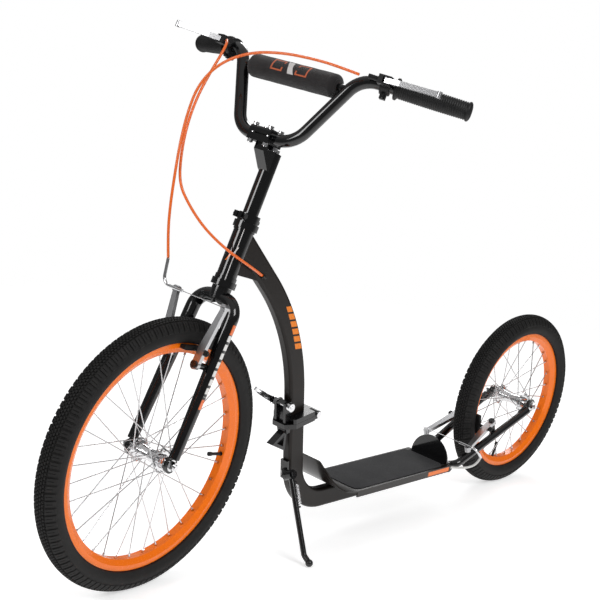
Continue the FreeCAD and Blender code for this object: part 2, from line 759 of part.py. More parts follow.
def make_stem():
    """The long stem: a quill inside the steerer, a post above the collar, and the lower clamp half."""
    post_foot = head_tube_top + cup_height + collar_height + joint_gap + seat_gap
    quill = rod(head(post_foot - quill_insertion, 0), head(post_foot, 0), steerer_bore - seat_gap)
    post = rod(head(post_foot, 0), head(stem_top, 0), stem_radius)
    neck = [head(stem_top - 40, 4), head(stem_top - 6, 4), head(stem_top + 2, 14),
            head(clamp_rise - 5, clamp_reach - clamp_block_radius), head(clamp_rise - 13, clamp_reach + 6),
            head(clamp_rise - 25, clamp_reach + 6), head(stem_top - 34, stem_radius)]
    plate = prism([corner - side * 11 for corner in neck], side * 22)
    stem = fused([quill, post, plate, clamp_half(-13.0, -clamp_split_gap / 2)])
    stem = cut_for_bar_and_bolts(stem)
    nut_room = [rod(head(clamp_rise - 26, f, y), head(clamp_rise - 13, f, y), clamp_bolt_head_radius + 0.6)
                for f, y in clamp_bolt_places()]
    return stem.cut(Part.makeCompound(nut_room))


def make_bar_cap():
    """The upper clamp half, with eased top edges."""
    cap = clamp_half(clamp_split_gap / 2, 13.0)
    long_edges = [edge for edge in cap.Edges
                  if abs(edge.tangentAt(edge.FirstParameter).dot(side)) > 0.99
                  and (edge.CenterOfMass - head(clamp_rise + 13.0, clamp_reach)).dot(up_axis) > -1]
    cap = cap.makeFillet(5.0, long_edges)
    return cut_for_bar_and_bolts(cap)


def make_stem_bolts():
    """Four clamp bolts with nuts, and the expander bolt in the top of the stem."""
    bolts = []
    for f, y in clamp_bolt_places():
        shank = rod(head(clamp_rise - 19, f, y), head(clamp_rise + 16, f, y), clamp_bolt_radius)
        bolt_head = rod(head(clamp_rise + 13 + seat_gap, f, y), head(clamp_rise + 18, f, y),
                        clamp_bolt_head_radius)
        nut = hexagon(head(clamp_rise - 18, f, y), head(clamp_rise - 13 - seat_gap, f, y),
                      clamp_bolt_head_radius + 0.4)
        bolts.append(fused([shank, bolt_head, nut]))
    bolts.append(hexagon(head(stem_top + seat_gap, -5), head(stem_top + 7, -5), 6.5))
    return Part.makeCompound(bolts)


# ---- handlebar and its controls ------------------------------------------------------------------
def bar_points(sign=1):
    """The corner points of one half of the bar, from its middle to its end."""
    return [head(clamp_rise, clamp_reach, 0), head(clamp_rise, clamp_reach, sign * bar_base_half),
            head(bar_shoulder_rise, bar_upright_reach - 2, sign * bar_shoulder_half),
            head(bar_end_rise, bar_end_reach, sign * bar_end_half)]


def crossbar_end(sign):
    """Where the crossbar meets the centre line of one upright."""
    _, base, shoulder, _ = bar_points(sign)
    share = (crossbar_rise - clamp_rise) / (bar_shoulder_rise - clamp_rise)
    return base + (shoulder - base) * share


def make_handlebar():
    """A bent tube from grip to grip, with a welded crossbar."""
    halves = []
    for sign in (-1, 1):
        points = bar_points(sign)
        radii = [bar_bend_radius, bar_bend_radius]
        halves.append(swept(points, radii, disc_face(points[0], side * sign, bar_radius)))
    bores = []
    for sign in (-1, 1):
        points = bar_points(sign)
        radii = [bar_bend_radius, bar_bend_radius]
        bores.append(swept(points, radii, disc_face(points[0], side * sign, bar_radius - bar_wall)))
    cross = rod(crossbar_end(-1), crossbar_end(1), crossbar_radius)
    return fused(halves + [cross]).cut(fused(bores))


def make_bar_pad():
    """A foam roll around the crossbar, a little shorter than the space between the uprights."""
    slope = (bar_shoulder_half - bar_base_half) / (bar_shoulder_rise - clamp_rise)
    half = crossbar_end(1).y - slope * pad_radius - bar_radius - 2.0
    middle = (crossbar_end(1) + crossbar_end(-1)) * 0.5
    face = disc_face(middle - side * half, side, pad_radius, crossbar_radius + seat_gap)
    pad = face.extrude(side * (2 * half))
    outer_edges = [edge for edge in pad.Edges if abs(edge.Length - 2 * math.pi * pad_radius) < 1]
    return pad.makeFillet(4.0, outer_edges)


def grip_axes(sign):
    """The bar's end point and three directions there: out along the grip, forward and up."""
    _, _, shoulder, end = bar_points(sign)
    outward = unit(end - shoulder)
    forward = unit(fore_axis - outward * fore_axis.dot(outward))
    upward = unit(forward.cross(outward)) * sign
    return end, outward, forward, upward


def grip_place(sign, inward, reach=0.0, rise=0.0):
    """A point measured from the bar's end: in along the grip, forward of it and up."""
    end, outward, forward, upward = grip_axes(sign)
    return end - outward * inward + forward * reach + upward * rise


def make_grip(sign):
    """A soft grip with a closed end and a flange next to the lever."""
    sleeve = rod(grip_place(sign, -3), grip_place(sign, grip_length), grip_radius)
    flange = rod(grip_place(sign, grip_length - 4), grip_place(sign, grip_length), grip_flange_radius)
    cap = rod(grip_place(sign, -3), grip_place(sign, 4), grip_radius + 1.5)
    bore = rod(grip_place(sign, -seat_gap), grip_place(sign, grip_length + 5), bar_radius + seat_gap)
    return fused([sleeve, flange, cap]).cut(bore)


def lever_pivot(sign):
    """The brake lever's pivot point."""
    return grip_place(sign, lever_perch_from_end - 6, lever_pivot_reach, lever_rise)


def make_lever_bracket(sign):
    """The clamp ring around the bar, the forked body that holds the lever, and the cable adjuster."""
    half = bracket_width / 2
    inner = lever_perch_from_end + half
    outer = lever_perch_from_end - half
    clamp = rod(grip_place(sign, outer), grip_place(sign, inner), bar_radius + 5)
    _, outward, forward, upward = grip_axes(sign)
    body_corners = [grip_place(sign, outer - 6, 13, lever_rise - 8),
                    grip_place(sign, inner + 4, 10, lever_rise - 8),
                    grip_place(sign, inner + 4, lever_pivot_reach + 6, lever_rise - 8),
                    grip_place(sign, outer - 2, lever_pivot_reach + 8, lever_rise - 8)]
    body = prism(body_corners, upward * 16)
    slot_corners = [grip_place(sign, outer - 20, 18, lever_rise - 5),
                    grip_place(sign, lever_perch_from_end + 4, 18, lever_rise - 5),
                    grip_place(sign, lever_perch_from_end + 4, 60, lever_rise - 5),
                    grip_place(sign, outer - 20, 60, lever_rise - 5)]
    body = body.cut(prism(slot_corners, upward * 10))
    barrel = rod(grip_place(sign, inner + 2, lever_pivot_reach - 4, lever_rise),
                 grip_place(sign, inner + 2 + barrel_length - 16, lever_pivot_reach - 4, lever_rise), 4.5)
    pinch = rod(grip_place(sign, lever_perch_from_end, -8, -bar_radius - 9),
                grip_place(sign, lever_perch_from_end, 12, -bar_radius - 9), 3.0)
    lug_low = -bar_radius - 13
    lug_corners = [grip_place(sign, outer + 3, -6, lug_low), grip_place(sign, inner - 3, -6, lug_low),
                   grip_place(sign, inner - 3, 6, lug_low), grip_place(sign, outer + 3, 6, lug_low)]
    lug = prism(lug_corners, upward * 10)
    bracket = fused([clamp, body, barrel, lug, pinch])
    pin_start = lever_pivot(sign) - upward * 7
    bracket = bracket.cut(swept(bar_points(sign), [bar_bend_radius, bar_bend_radius],
                                disc_face(bar_points(sign)[0], side * sign, bar_radius + seat_gap)))
    return fused([bracket, rod(pin_start, pin_start + upward * 14, 2.5)])


def make_lever(sign):
    """A flat two-finger brake lever with a rounded tip, turned outward by its slack angle."""
    _, outward, forward, upward = grip_axes(sign)
    pivot = lever_pivot(sign)
    start = lever_perch_from_end - 6
    outline = [(start + 7, lever_pivot_reach - 4), (start + 7, lever_pivot_reach + 4),
               (start - 20, lever_pivot_reach + 13), (start - lever_length, lever_reach + 3),
               (start - lever_length - 3, lever_reach - 1), (start - lever_length, lever_reach - 4),
               (start - 22, lever_pivot_reach + 7), (start - 4, lever_pivot_reach - 5)]
    low = lever_rise - 4.5
    blade = prism([grip_place(sign, inward, reach, low) for inward, reach in outline], upward * 9)
    tip_centre = grip_place(sign, start - lever_length - 2, lever_reach - 0.5, low - 1)
    tip = rod(tip_centre, tip_centre + upward * 11, 4.5)
    lever = fused([blade, tip]).cut(rod(pivot - upward * 12, pivot + upward * 12, 2.5 + running_gap))
    if sign < 0:
        lever.rotate(pivot, upward, slack_lever_angle)
    return lever


# ---- frame ---------------------------------------------------------------------------------------
def main_tube_points():
    """Corner points of the upper tube's centre line, from the hinge to the steering axis."""
    start = hinge(0, hinge_plate_thickness / 2)
    top_tilt = math.radians(main_tube_top_tilt)
    lower_heading = hinge_up
    upper_heading = Vector(math.sin(top_tilt), 0, math.cos(top_tilt))
    half_turn = math.tan((top_tilt - tilt) / 2)
    corner = hinge(0, main_tube_straight) + lower_heading * (main_tube_bend_radius * half_turn)
    # the steering axis is met where the upper run, from the corner, has no distance left in front of it
    gap = -(corner - head_point).dot(fore_axis)
    end = corner + upper_heading * (gap / upper_heading.dot(fore_axis))
    return [start, corner, end]


def lower_tube_points():
    """Corner points of the lower tube's centre line, from the hinge down and back under the deck."""
    deck_line = deck_top - deck_sheet - seat_gap - tube_depth / 2
    start = hinge(0, -hinge_plate_thickness / 2)
    drop = (start.z - deck_line) / math.cos(tilt)
    corner = start - hinge_up * drop
    return [start, corner, Vector(deck_tube_end, 0, deck_line)]


def tube_along(points, bends, shrink=0.0):
    """The flat-sided frame tube along a route in the scooter's middle plane."""
    heading = unit(points[1] - points[0])
    across = unit(heading.cross(side))
    face = rounded_face(points[0], across, side, tube_depth - 2 * shrink, tube_width - 2 * shrink,
                        tube_corner - shrink)
    return swept(points, bends, face)


def head_room():
    """The space that the head tube takes out of what is welded to it."""
    return rod(head(head_tube_bottom - 60, 0), head(head_tube_top + 60, 0), head_tube_radius + seat_gap)


def make_main_tube():
    """The upper tube, with the gusset web below its joint and the stop for the rear brake's cable."""
    points = main_tube_points()
    outer = tube_along(points, [main_tube_bend_radius])
    web = prism([head(-30, -10, -8), head(20, -10, -8), head(-2, -58, -8), head(-26, -72, -8)], side * 16)
    cable_end = turned_with_bars(head(*rear_cable_route[-1]))
    cable_heading = unit(cable_end - turned_with_bars(head(*rear_cable_route[-2])))
    stop_start = cable_end + cable_heading * joint_gap
    stop_end = stop_start + cable_heading * 12
    stop = rod(stop_start, stop_end, 4.0)
    lug = rod(stop_end, stop_end - side * (stop_end.y - tube_width / 2 + 1), 3.2)
    tube = fused([outer, web, stop, lug]).cut(tube_along(points, [main_tube_bend_radius], tube_wall))
    return tube.cut(head_room())


def make_head_tube():
    """The head tube, with a stiffening ring at each end."""
    tube = ring(head(head_tube_bottom, 0), head(head_tube_top, 0), head_tube_radius, head_tube_bore)
    rings = [ring(head(head_tube_bottom, 0), head(head_tube_bottom + 8, 0),
                  head_tube_radius + 1.5, head_tube_bore),
             ring(head(head_tube_top - 4, 0), head(head_tube_top, 0), head_tube_radius + 1.5, head_tube_bore)]
    return fused([tube] + rings)


def hinge_plate(direction):
    """One plate of the fold hinge; direction is +1 for the upper plate and -1 for the lower one."""
    parting = direction * joint_gap / 2
    rear = hinge_knuckle_radius + 2 * joint_gap - hinge_pin_back
    half = hinge_plate_half_width
    nose = hinge_plate_front
    corners = [(rear, -half), (nose - 18, -half), (nose, -half + 14), (nose, half - 14), (nose - 18, half),
               (rear, half)]
    plate = prism([hinge(w, parting, y) for w, y in corners],
                  hinge_up * (direction * (hinge_plate_thickness - joint_gap / 2)))
    return plate


def knuckle(y_start, y_end, direction):
    """A barrel around the hinge pin, with the web that ties it to its plate."""
    barrel = rod(hinge(-hinge_pin_back, 0, y_start), hinge(-hinge_pin_back, 0, y_end), hinge_knuckle_radius)
    web_height = direction * hinge_knuckle_radius
    web = prism([hinge(-hinge_pin_back, direction * joint_gap / 2, y_start),
                 hinge(-hinge_pin_back, web_height, y_start),
                 hinge(hinge_knuckle_radius + 1 - hinge_pin_back, web_height, y_start),
                 hinge(hinge_knuckle_radius + 1 - hinge_pin_back, direction * joint_gap / 2, y_start)],
                side * (y_end - y_start))
    return fused([barrel, web])


def pin_bore(clearance):
    """The hole for the hinge pin."""
    reach = hinge_plate_half_width + 5
    return rod(hinge(-hinge_pin_back, 0, -reach), hinge(-hinge_pin_back, 0, reach),
               hinge_pin_radius + clearance)


def ear_slot(half_low, half_high, forward_low, forward_high):
    """A block above the hinge's parting face, used for the ears and for the room they need."""
    return prism([hinge(forward_low, -1, half_low), hinge(forward_high, -1, half_low),
                  hinge(forward_high, -1, half_high), hinge(forward_low, -1, half_high)],
                 hinge_up * (quick_release_height + 9))


def make_upper_hinge_plate():
    """The upper plate, with its centre knuckle, notches for the ears and the hooked fin between them."""
    plate = hinge_plate(1)
    centre = knuckle(-hinge_centre_knuckle / 2 + joint_gap, hinge_centre_knuckle / 2 - joint_gap, 1)
    fin_half = ear_inner_half - joint_gap
    low = hinge_plate_thickness - 2
    fin = prism([hinge(22, low, -fin_half), hinge(38, low, -fin_half),
                 hinge(38, quick_release_height + 6, -fin_half),
                 hinge(26, quick_release_height + 8, -fin_half)],
                side * (2 * fin_half))
    plate = fused([plate, centre, fin])
    ear_room = joint_gap + ear_inner_half + ear_thickness
    for low_y, high_y in ((fin_half, ear_room), (-ear_room, -fin_half)):
        plate = plate.cut(ear_slot(low_y, high_y, quick_release_forward - 9, hinge_plate_front + 10))
    # the thumb nut and the cam pass the plate's front corners as the hinge opens
    corner_reach = math.hypot(quick_release_forward + hinge_pin_back, quick_release_height)
    corner_start = corner_reach - thumb_nut_radius - 5 * joint_gap - hinge_pin_back
    outer_half = hinge_plate_half_width + 1
    for low_y, high_y in ((fin_half, outer_half), (-outer_half, -fin_half)):
        plate = plate.cut(ear_slot(low_y, high_y, corner_start, hinge_plate_front + 10))
    # the bolt leaves the fin along an arc about the hinge pin
    reach = math.hypot(quick_release_forward + hinge_pin_back, quick_release_height)
    rise = math.degrees(math.atan2(quick_release_height, quick_release_forward + hinge_pin_back))
    band_face = Part.Face(Part.makePolygon([hinge(reach - 4.2 - hinge_pin_back, 0, -fin_half - 1),
                                            hinge(reach + 40 - hinge_pin_back, 0, -fin_half - 1),
                                            hinge(reach + 40 - hinge_pin_back, 0, fin_half + 1),
                                            hinge(reach - 4.2 - hinge_pin_back, 0, fin_half + 1),
                                            hinge(reach - 4.2 - hinge_pin_back, 0, -fin_half - 1)]))
    band = band_face.revolve(hinge(-hinge_pin_back, 0), side, -rise)
    bolt_room = rod(hinge(quick_release_forward, quick_release_height, -fin_half - 1),
                    hinge(quick_release_forward, quick_release_height, fin_half + 1), 4.2)
    plate = plate.cut(band).cut(bolt_room)
    outer_knuckle_room = []
    for sign in (-1, 1):
        outer_knuckle_room.append(rod(hinge(-hinge_pin_back, 0, sign * hinge_centre_knuckle / 2),
                                      hinge(-hinge_pin_back, 0, sign * (hinge_plate_half_width + 5)),
                                      hinge_knuckle_radius + joint_gap))
    return plate.cut(Part.makeCompound(outer_knuckle_room)).cut(pin_bore(running_gap))


def make_lower_hinge_plate():
    """The lower plate, with two outer knuckles, two ears for the clamp bolt and lugs for the pedal."""
    plate = hinge_plate(-1)
    pieces = [plate]
    for sign in (-1, 1):
        pieces.append(knuckle(sign * hinge_centre_knuckle / 2, sign * hinge_plate_half_width, -1))
        low_y = sign * ear_inner_half
        high_y = sign * (ear_inner_half + ear_thickness)
        pieces.append(ear_slot(low_y, high_y, quick_release_forward - 8, quick_release_forward + 9))
        lug_y = sign * (pedal_half_width + joint_gap)
        pieces.append(prism([hinge(18, -4, lug_y), hinge(36, -4, lug_y), hinge(32, pedal_drop - 5, lug_y),
                             hinge(24, pedal_drop - 5, lug_y)], side * (sign * 4)))
    plate = fused(pieces)
    plate = plate.cut(rod(hinge(-hinge_pin_back, 0, -hinge_centre_knuckle / 2),
                          hinge(-hinge_pin_back, 0, hinge_centre_knuckle / 2),
                          hinge_knuckle_radius + joint_gap))
    bolt_hole = rod(hinge(quick_release_forward, quick_release_height, -40),
                    hinge(quick_release_forward, quick_release_height, 40), 3.5 + seat_gap)
    pin_reach = pedal_half_width + 4.2
    pedal_pin = rod(pedal_pivot() - side * pin_reach, pedal_pivot() + side * pin_reach, 2.5)
    return fused([plate.cut(pin_bore(seat_gap)).cut(bolt_hole), pedal_pin])


def make_hinge_pin():
    """The hinge pin, with a round head at each end."""
    reach = hinge_plate_half_width + seat_gap
    pieces = [rod(hinge(-hinge_pin_back, 0, -reach - 3), hinge(-hinge_pin_back, 0, reach + 3),
                  hinge_pin_radius)]
    for sign in (-1, 1):
        pieces.append(rod(hinge(-hinge_pin_back, 0, sign * reach),
                          hinge(-hinge_pin_back, 0, sign * (reach + 3)), hinge_pin_radius + 2))
    return fused(pieces)


cam_middle = ear_inner_half + ear_thickness + seat_gap + 8.0
cam_half_height = 7.0


def make_clamp_bolt():
    """The cross bolt of the quick release, with its thumb nut on the left."""
    level = (quick_release_forward, quick_release_height)
    outer = ear_inner_half + ear_thickness + seat_gap
    pieces = [rod(hinge(*level, -outer - 0.5), hinge(*level, outer + 9), 3.5),
              rod(hinge(*level, outer), hinge(*level, outer + 8), thumb_nut_radius)]
    return fused(pieces)


def clamp_lever_axis():
    """The quick release lever's heading when closed, and the direction of its cam's axis."""
    heading = unit(hinge_fore * 0.80 + hinge_up * 0.60)
    return heading, unit(heading.cross(side))


def make_clamp_lever():
    """The quick release lever: a cam barrel with a curved blade pointing forward."""
    heading, cam_axis = clamp_lever_axis()
    centre = hinge(quick_release_forward, quick_release_height, -cam_middle)
    barrel = rod(centre - cam_axis * cam_half_height, centre + cam_axis * cam_half_height, 6.6)
    blade = prism([centre - cam_axis * 6 - side * 2, centre + cam_axis * 6 - side * 2,
                    centre + heading * 30 + cam_axis * 5 - side * 2,
                    centre + heading * 66 + cam_axis * 7 - side * 2,
                   centre + heading * 68 - side * 2, centre + heading * 60 - cam_axis * 3 - side * 2,
                   centre + heading * 30 - cam_axis * 5 - side * 2], side * 4)
    return fused([barrel, blade])


pedal_half_width = 8.0
pedal_drop = -19.0


def pedal_pivot():
    """The pivot of the fold-release pedal, under the front of the lower plate."""
    return hinge(28, pedal_drop)


def make_release_pedal():
    """The triangular loop that is pressed to free the fold."""
    heel = pedal_pivot()
    toe = heel + Vector(31, 0, -25)
    foot = heel + Vector(-2, 0, -40)
    middle = (heel + toe + foot) * (1.0 / 3.0)

    def loop(grow):
        return [middle + (corner - middle) * grow - side * pedal_half_width for corner in (heel, toe, foot)]

    across = side * (2 * pedal_half_width)
    strap = prism(loop(1.12), across).cut(prism(loop(0.58), across))
    boss = rod(heel - side * pedal_half_width, heel + side * pedal_half_width, 5.0)
    bore = rod(heel - side * 12, heel + side * 12, 2.5 + running_gap)
    return fused([strap, boss]).cut(bore)


def make_lower_tube():
    """The lower tube, from the hinge down in front of the deck and back beneath it."""
    points = lower_tube_points()
    tube = tube_along(points, [lower_bend_radius])
    bore_points = [points[0], points[1], points[2] + Vector(3, 0, 0)]
    closed = tube.cut(tube_along(bore_points, [lower_bend_radius], tube_wall))
    return closed.cut(make_cross_tube())


# ---- deck ----------------------------------------------------------------------------------------
def make_deck_board():
    """A pressed deck: a flat with turned-down edges and a front lip that curls up and narrows."""
    width = 2 * deck_half_width
    under = deck_top - deck_sheet
    flat = Part.makeBox(deck_front_x - deck_rear_x, width, deck_sheet,
                        Vector(deck_rear_x, -deck_half_width, under))
    pieces = [flat]
    for sign in (-1, 1):
        low_y = deck_half_width - deck_sheet if sign > 0 else -deck_half_width
        pieces.append(Part.makeBox(deck_front_x - deck_rear_x, deck_sheet, deck_flange_height,
                                   Vector(deck_rear_x, low_y, deck_top - deck_flange_height)))
    lip_centre = Vector(deck_front_x, 0, deck_top + lip_radius)
    strip = Part.Face(Part.makePolygon([Vector(deck_front_x, -deck_half_width, under),
                                        Vector(deck_front_x, deck_half_width, under),
                                        Vector(deck_front_x, deck_half_width, deck_top),
                                        Vector(deck_front_x, -deck_half_width, deck_top),
                                        Vector(deck_front_x, -deck_half_width, under)]))
    lip = strip.revolve(lip_centre, side, -lip_angle)
    lip_top = deck_top + lip_radius * (1 - math.cos(math.radians(lip_angle)))
    top_half = lip_top_half_width
    outline = [(-deck_half_width - 1, under - 1), (deck_half_width + 1, under - 1),
               (deck_half_width + 1, deck_top + 2), (top_half + 7, lip_top - 22), (top_half - 8, lip_top - 3),
               (top_half - 20, lip_top + 5), (20 - top_half, lip_top + 5), (8 - top_half, lip_top - 3),
               (-top_half - 7, lip_top - 22), (-deck_half_width - 1, deck_top + 2)]
    keep = prism([Vector(deck_front_x - 1, y, z) for y, z in outline], Vector(lip_radius + 20, 0, 0))
    return fused(pieces + [lip.common(keep)])


def make_grip_sheet():
    """The rough sheet on the deck, with round corners."""
    margin = grip_sheet_margin
    rear = deck_rear_x + guard_thickness + guard_foot_length + 1
    length = deck_front_x - rear
    width = 2 * (deck_half_width - margin)
    centre = Vector(rear + length / 2, 0, deck_top + seat_gap)
    face = rounded_face(centre, Vector(1, 0, 0), side, length, width, 16.0)
    return face.extrude(Vector(0, 0, grip_sheet_thickness))


def make_heel_guard():
    """A half-round plate that stands up at the back of the deck and keeps the heel off the tyre."""
    foot_x = deck_rear_x + guard_thickness
    plate = rod(Vector(foot_x, 0, deck_top - 1), Vector(foot_x - guard_thickness, 0, deck_top - 1),
                guard_radius)
    below = Part.makeBox(40, 4 * guard_radius, 2 * guard_radius,
                         Vector(foot_x - 20, -2 * guard_radius, deck_top + seat_gap - 2 * guard_radius))
    upper = plate.cut(below)
    foot = Part.makeBox(guard_foot_length, 2 * guard_radius - 8, 2.0,
                        Vector(foot_x, 4 - guard_radius, deck_top + seat_gap))
    return fused([upper, foot])


def make_cross_tube():
    """The outline of the round cross tube that ends the lower tube and carries the stays."""
    height = lower_tube_points()[2].z + 6
    reach = stay_start_half + 2
    return rod(Vector(deck_tube_end - 4, -reach, height), Vector(deck_tube_end - 4, reach, height),
               stay_radius + 3)


def make_rear_stays():
    """The cross tube, two bent stays, the plates that take the rear axle, and the brake pivots."""
    height = lower_tube_points()[2].z + 6
    pieces = [make_cross_tube()]
    for sign in (-1, 1):
        start = Vector(deck_tube_end - 4, sign * (stay_start_half - 14), height)
        bend = Vector(stay_start_x - 12, sign * (stay_start_half + 9), height + 8)
        end = rear_hub + Vector(16, sign * stay_end_half, -8)
        face = disc_face(start, bend - start, stay_radius)
        pieces.append(swept([start, bend, end], [22.0], face))
        plate_in = rear_hub + side * (sign * rear_dropout_half_gap)
        step = side * (sign * dropout_thickness)
        pieces.append(rod(plate_in, plate_in + step, dropout_plate_radius))
        strap = [plate_in + stay_up * 11, plate_in + stay_up * -11, plate_in + stay_out * 44 + stay_up * -7,
                 plate_in + stay_out * 44 + stay_up * 7]
        pieces.append(prism(strap, step))
    stays = fused(pieces + make_bosses(rear_brake, rear_bead_radius))
    reach = stay_end_half + 20
    return stays.cut(rod(rear_hub - side * reach, rear_hub + side * reach, axle_radius + seat_gap))


# ---- side stand ----------------------------------------------------------------------------------
def stand_axis():
    """The stand's pivot axis: sideways and tilted up, so that the leg folds back beside the deck."""
    angle = math.radians(stand_axis_tilt)
    return Vector(0, math.cos(angle), math.sin(angle))


def stand_foot():
    """The foot's centre: it touches the ground when the scooter leans onto it."""
    lean = math.radians(lean_on_stand)
    drop = stand_foot_radius - tyre_section_radius + stand_foot_out * math.sin(lean)
    return Vector(stand_foot_forward, stand_foot_out, tyre_section_radius + drop / math.cos(lean))


def stand_knee():
    """Where the leg turns out into its foot."""
    return stand_foot() + Vector(-1, -16, 9)


def make_stand_bracket():
    """The plate on the front of the lower tube that holds the stand's pivot bolt and spring hook."""
    axis = stand_axis()
    tube_front = hinge(tube_depth / 2 + seat_gap, -88)
    low = hinge(tube_depth / 2 + seat_gap, -128)
    plate = prism([tube_front - side * 9, tube_front + side * 9, low + side * 9, low - side * 9],
                  hinge_fore * 5)
    arm_end = stand_pivot - axis * (stand_eye_half + 3)
    arm = rod(hinge(tube_depth / 2 + 4, -110, 2), arm_end - axis * 5, 7.5)
    boss = rod(arm_end - axis * 6, stand_pivot - axis * (stand_eye_half + joint_gap), 9.5)
    bolt = rod(arm_end, stand_pivot + axis * (stand_eye_half + 5), 4.0)
    bolt_head = hexagon(stand_pivot + axis * (stand_eye_half + joint_gap),
                        stand_pivot + axis * (stand_eye_half + 5), 7.0)
    hook = rod(arm_end - axis * 2, spring_top(), 2.5)
    bracket = fused([plate, arm, boss, bolt, bolt_head, hook])
    return bracket.cut(tube_along(lower_tube_points(), [lower_bend_radius], -seat_gap / 2))


def spring_top():
    """The upper end of the stand's spring."""
    return stand_pivot + Vector(-17, 2, -19)


def spring_bottom():
    """The lower end of the stand's spring, at the hook on the leg."""
    return leg_point(0.42) + Vector(-11, -2, 0)


def leg_point(share):
    """A point on the leg's centre line, from the pivot to the knee."""
    return stand_pivot + (stand_knee() - stand_pivot) * share


def make_stand_leg():
    """The leg, with its pivot eye, the spring's hook and a foot turned outward."""
    axis = stand_axis()
    eye = rod(stand_pivot - axis * stand_eye_half, stand_pivot + axis * stand_eye_half, 9.5)
    face = disc_face(stand_pivot, stand_knee() - stand_pivot, stand_leg_radius)
    leg = swept([stand_pivot, stand_knee(), stand_foot()], [12.0], face)
    foot = Part.makeSphere(stand_foot_radius, stand_foot())
    hook = rod(leg_point(0.42), spring_bottom() - Vector(2, 0, 0), 2.0)
    bore = rod(stand_pivot - axis * 8, stand_pivot + axis * 8, 4.0 + running_gap)
    return fused([eye, leg, foot, hook]).cut(bore)


def make_stand_spring():
    """The tension spring as a thin sleeve of its outer size."""
    along = unit(spring_bottom() - spring_top())
    start = spring_top() + along * 4
    end = spring_bottom() - along * 4
    return ring(start, end, spring_radius, spring_radius - 2 * spring_wire)


# ---- the whole scooter ---------------------------------------------------------------------------
def wheel_nodes(name, centre, bead, outer, count, crosses, flange_half, valve_angle):
    """All the turning parts of one wheel."""
    return {
        name + "_tyre": make_tyre(centre, bead, outer),
        name + "_inner_tube": make_inner_tube(centre, bead, outer, valve_angle),
        name + "_rim": make_rim(centre, bead, count, valve_angle),
        name + "_spokes": make_spokes(centre, bead, count, crosses, flange_half),
        name + "_spoke_nipples": make_nipples(centre, bead, count, crosses, flange_half),
        name + "_hub": make_hub(centre, count, crosses, flange_half),
    }


def brake_nodes(name, at, bead):
    """The two arms and shoes of one rim brake."""
    nodes = {}
    for label, sign in (("left", 1), ("right", -1)):
        arm = make_brake_arm(at, bead, sign)
        nodes[f"{name}_brake_arm_{label}"] = arm.cut(pad_post_hole(at, bead, sign))
        nodes[f"{name}_brake_pad_{label}"] = make_brake_pad(at, bead, sign)
    return nodes


front_valve_angle = 190.0
rear_valve_angle = 283.0
steered = {
    "fork": make_fork(),
    "headset_collar": make_headset_collar(),
    "stem": make_stem(),
    "bar_clamp_cap": make_bar_cap(),
    "stem_bolts": make_stem_bolts(),
    "handlebar": make_handlebar(),
    "bar_pad": make_bar_pad(),
    "left_grip": make_grip(1),
    "right_grip": make_grip(-1),
    "left_lever_bracket": make_lever_bracket(1),
    "right_lever_bracket": make_lever_bracket(-1),
    "left_brake_lever": make_lever(1),
    "right_brake_lever": make_lever(-1),
    "front_axle": make_axle(front_hub, front_flange_half_spacing, front_dropout_half_gap),
    "front_axle_nuts": make_axle_nuts(front_hub, front_dropout_half_gap),
    "front_brake_cable": cord([head(*point) for point in front_cable_route], cable_radius),
    "rear_brake_cable": cord([head(*point) for point in rear_cable_route], cable_radius),
}
steered.update(wheel_nodes("front", front_hub, front_bead_radius, front_tyre_radius, front_spoke_count,
                           front_spoke_crosses, front_flange_half_spacing, front_valve_angle))
steered.update(brake_nodes("front", front_brake, front_bead_radius))
front_tail = head(*front_cable_route[-1])
front_tail_back = unit(front_tail - head(*front_cable_route[-2]))
steered["front_brake_noodle"] = make_noodle(front_brake, front_bead_radius, -1,
                                            front_tail + front_tail_back * 1.0)

fixed = {
    "main_tube": make_main_tube(),
    "head_tube": make_head_tube(),
    "upper_hinge_plate": make_upper_hinge_plate(),
    "headset_cups": make_headset_cups(),
    "headset_balls": make_headset_balls(),
    "lower_tube": make_lower_tube(),
    "lower_hinge_plate": make_lower_hinge_plate(),
    "hinge_pin": make_hinge_pin(),
    "clamp_bolt": make_clamp_bolt(),
    "clamp_lever": make_clamp_lever(),
    "release_pedal": make_release_pedal(),
    "deck_board": make_deck_board(),
    "grip_sheet": make_grip_sheet(),
    "heel_guard": make_heel_guard(),
    "rear_stays": make_rear_stays(),
    "rear_axle": make_axle(rear_hub, rear_flange_half_spacing, rear_dropout_half_gap),
    "rear_axle_nuts": make_axle_nuts(rear_hub, rear_dropout_half_gap),
    "tail_brake_cable": cord([Vector(*point) for point in tail_cable_route], cable_radius),
    "stand_bracket": make_stand_bracket(),
    "stand_leg": make_stand_leg(),
    "stand_spring": make_stand_spring(),
}
fixed.update(wheel_nodes("rear", rear_hub, rear_bead_radius, rear_tyre_radius, rear_spoke_count,
                         rear_spoke_crosses, rear_flange_half_spacing, rear_valve_angle))
fixed.update(brake_nodes("rear", rear_brake, rear_bead_radius))
tail_end = Vector(*tail_cable_route[-1])
tail_heading = unit(tail_end - Vector(*tail_cable_route[-2]))
fixed["rear_brake_noodle"] = make_noodle(rear_brake, rear_bead_radius, 1, tail_end + tail_heading * 3.0)


# plates and tubes that are welded to one another share faces, not space
fixed["main_tube"] = fixed["main_tube"].cut(fixed["upper_hinge_plate"])
fixed["lower_tube"] = fixed["lower_tube"].cut(fixed["lower_hinge_plate"])


def lean_over(shape):
    """Lean a shape to the left about the line that both tyres roll over on."""
    shape.rotate(Vector(0, 0, tyre_section_radius), Vector(1, 0, 0), -lean_on_stand)
    return shape


def turn_bars(shape):
    """Turn a steered shape to its rest angle."""
    shape.rotate(head_point, up_axis, steer_at_rest)
    return shape


nodes = {}
for name, shape in steered.items():
    nodes[name] = lean_over(turn_bars(shape))
for name, shape in fixed.items():
    nodes[name] = lean_over(shape)

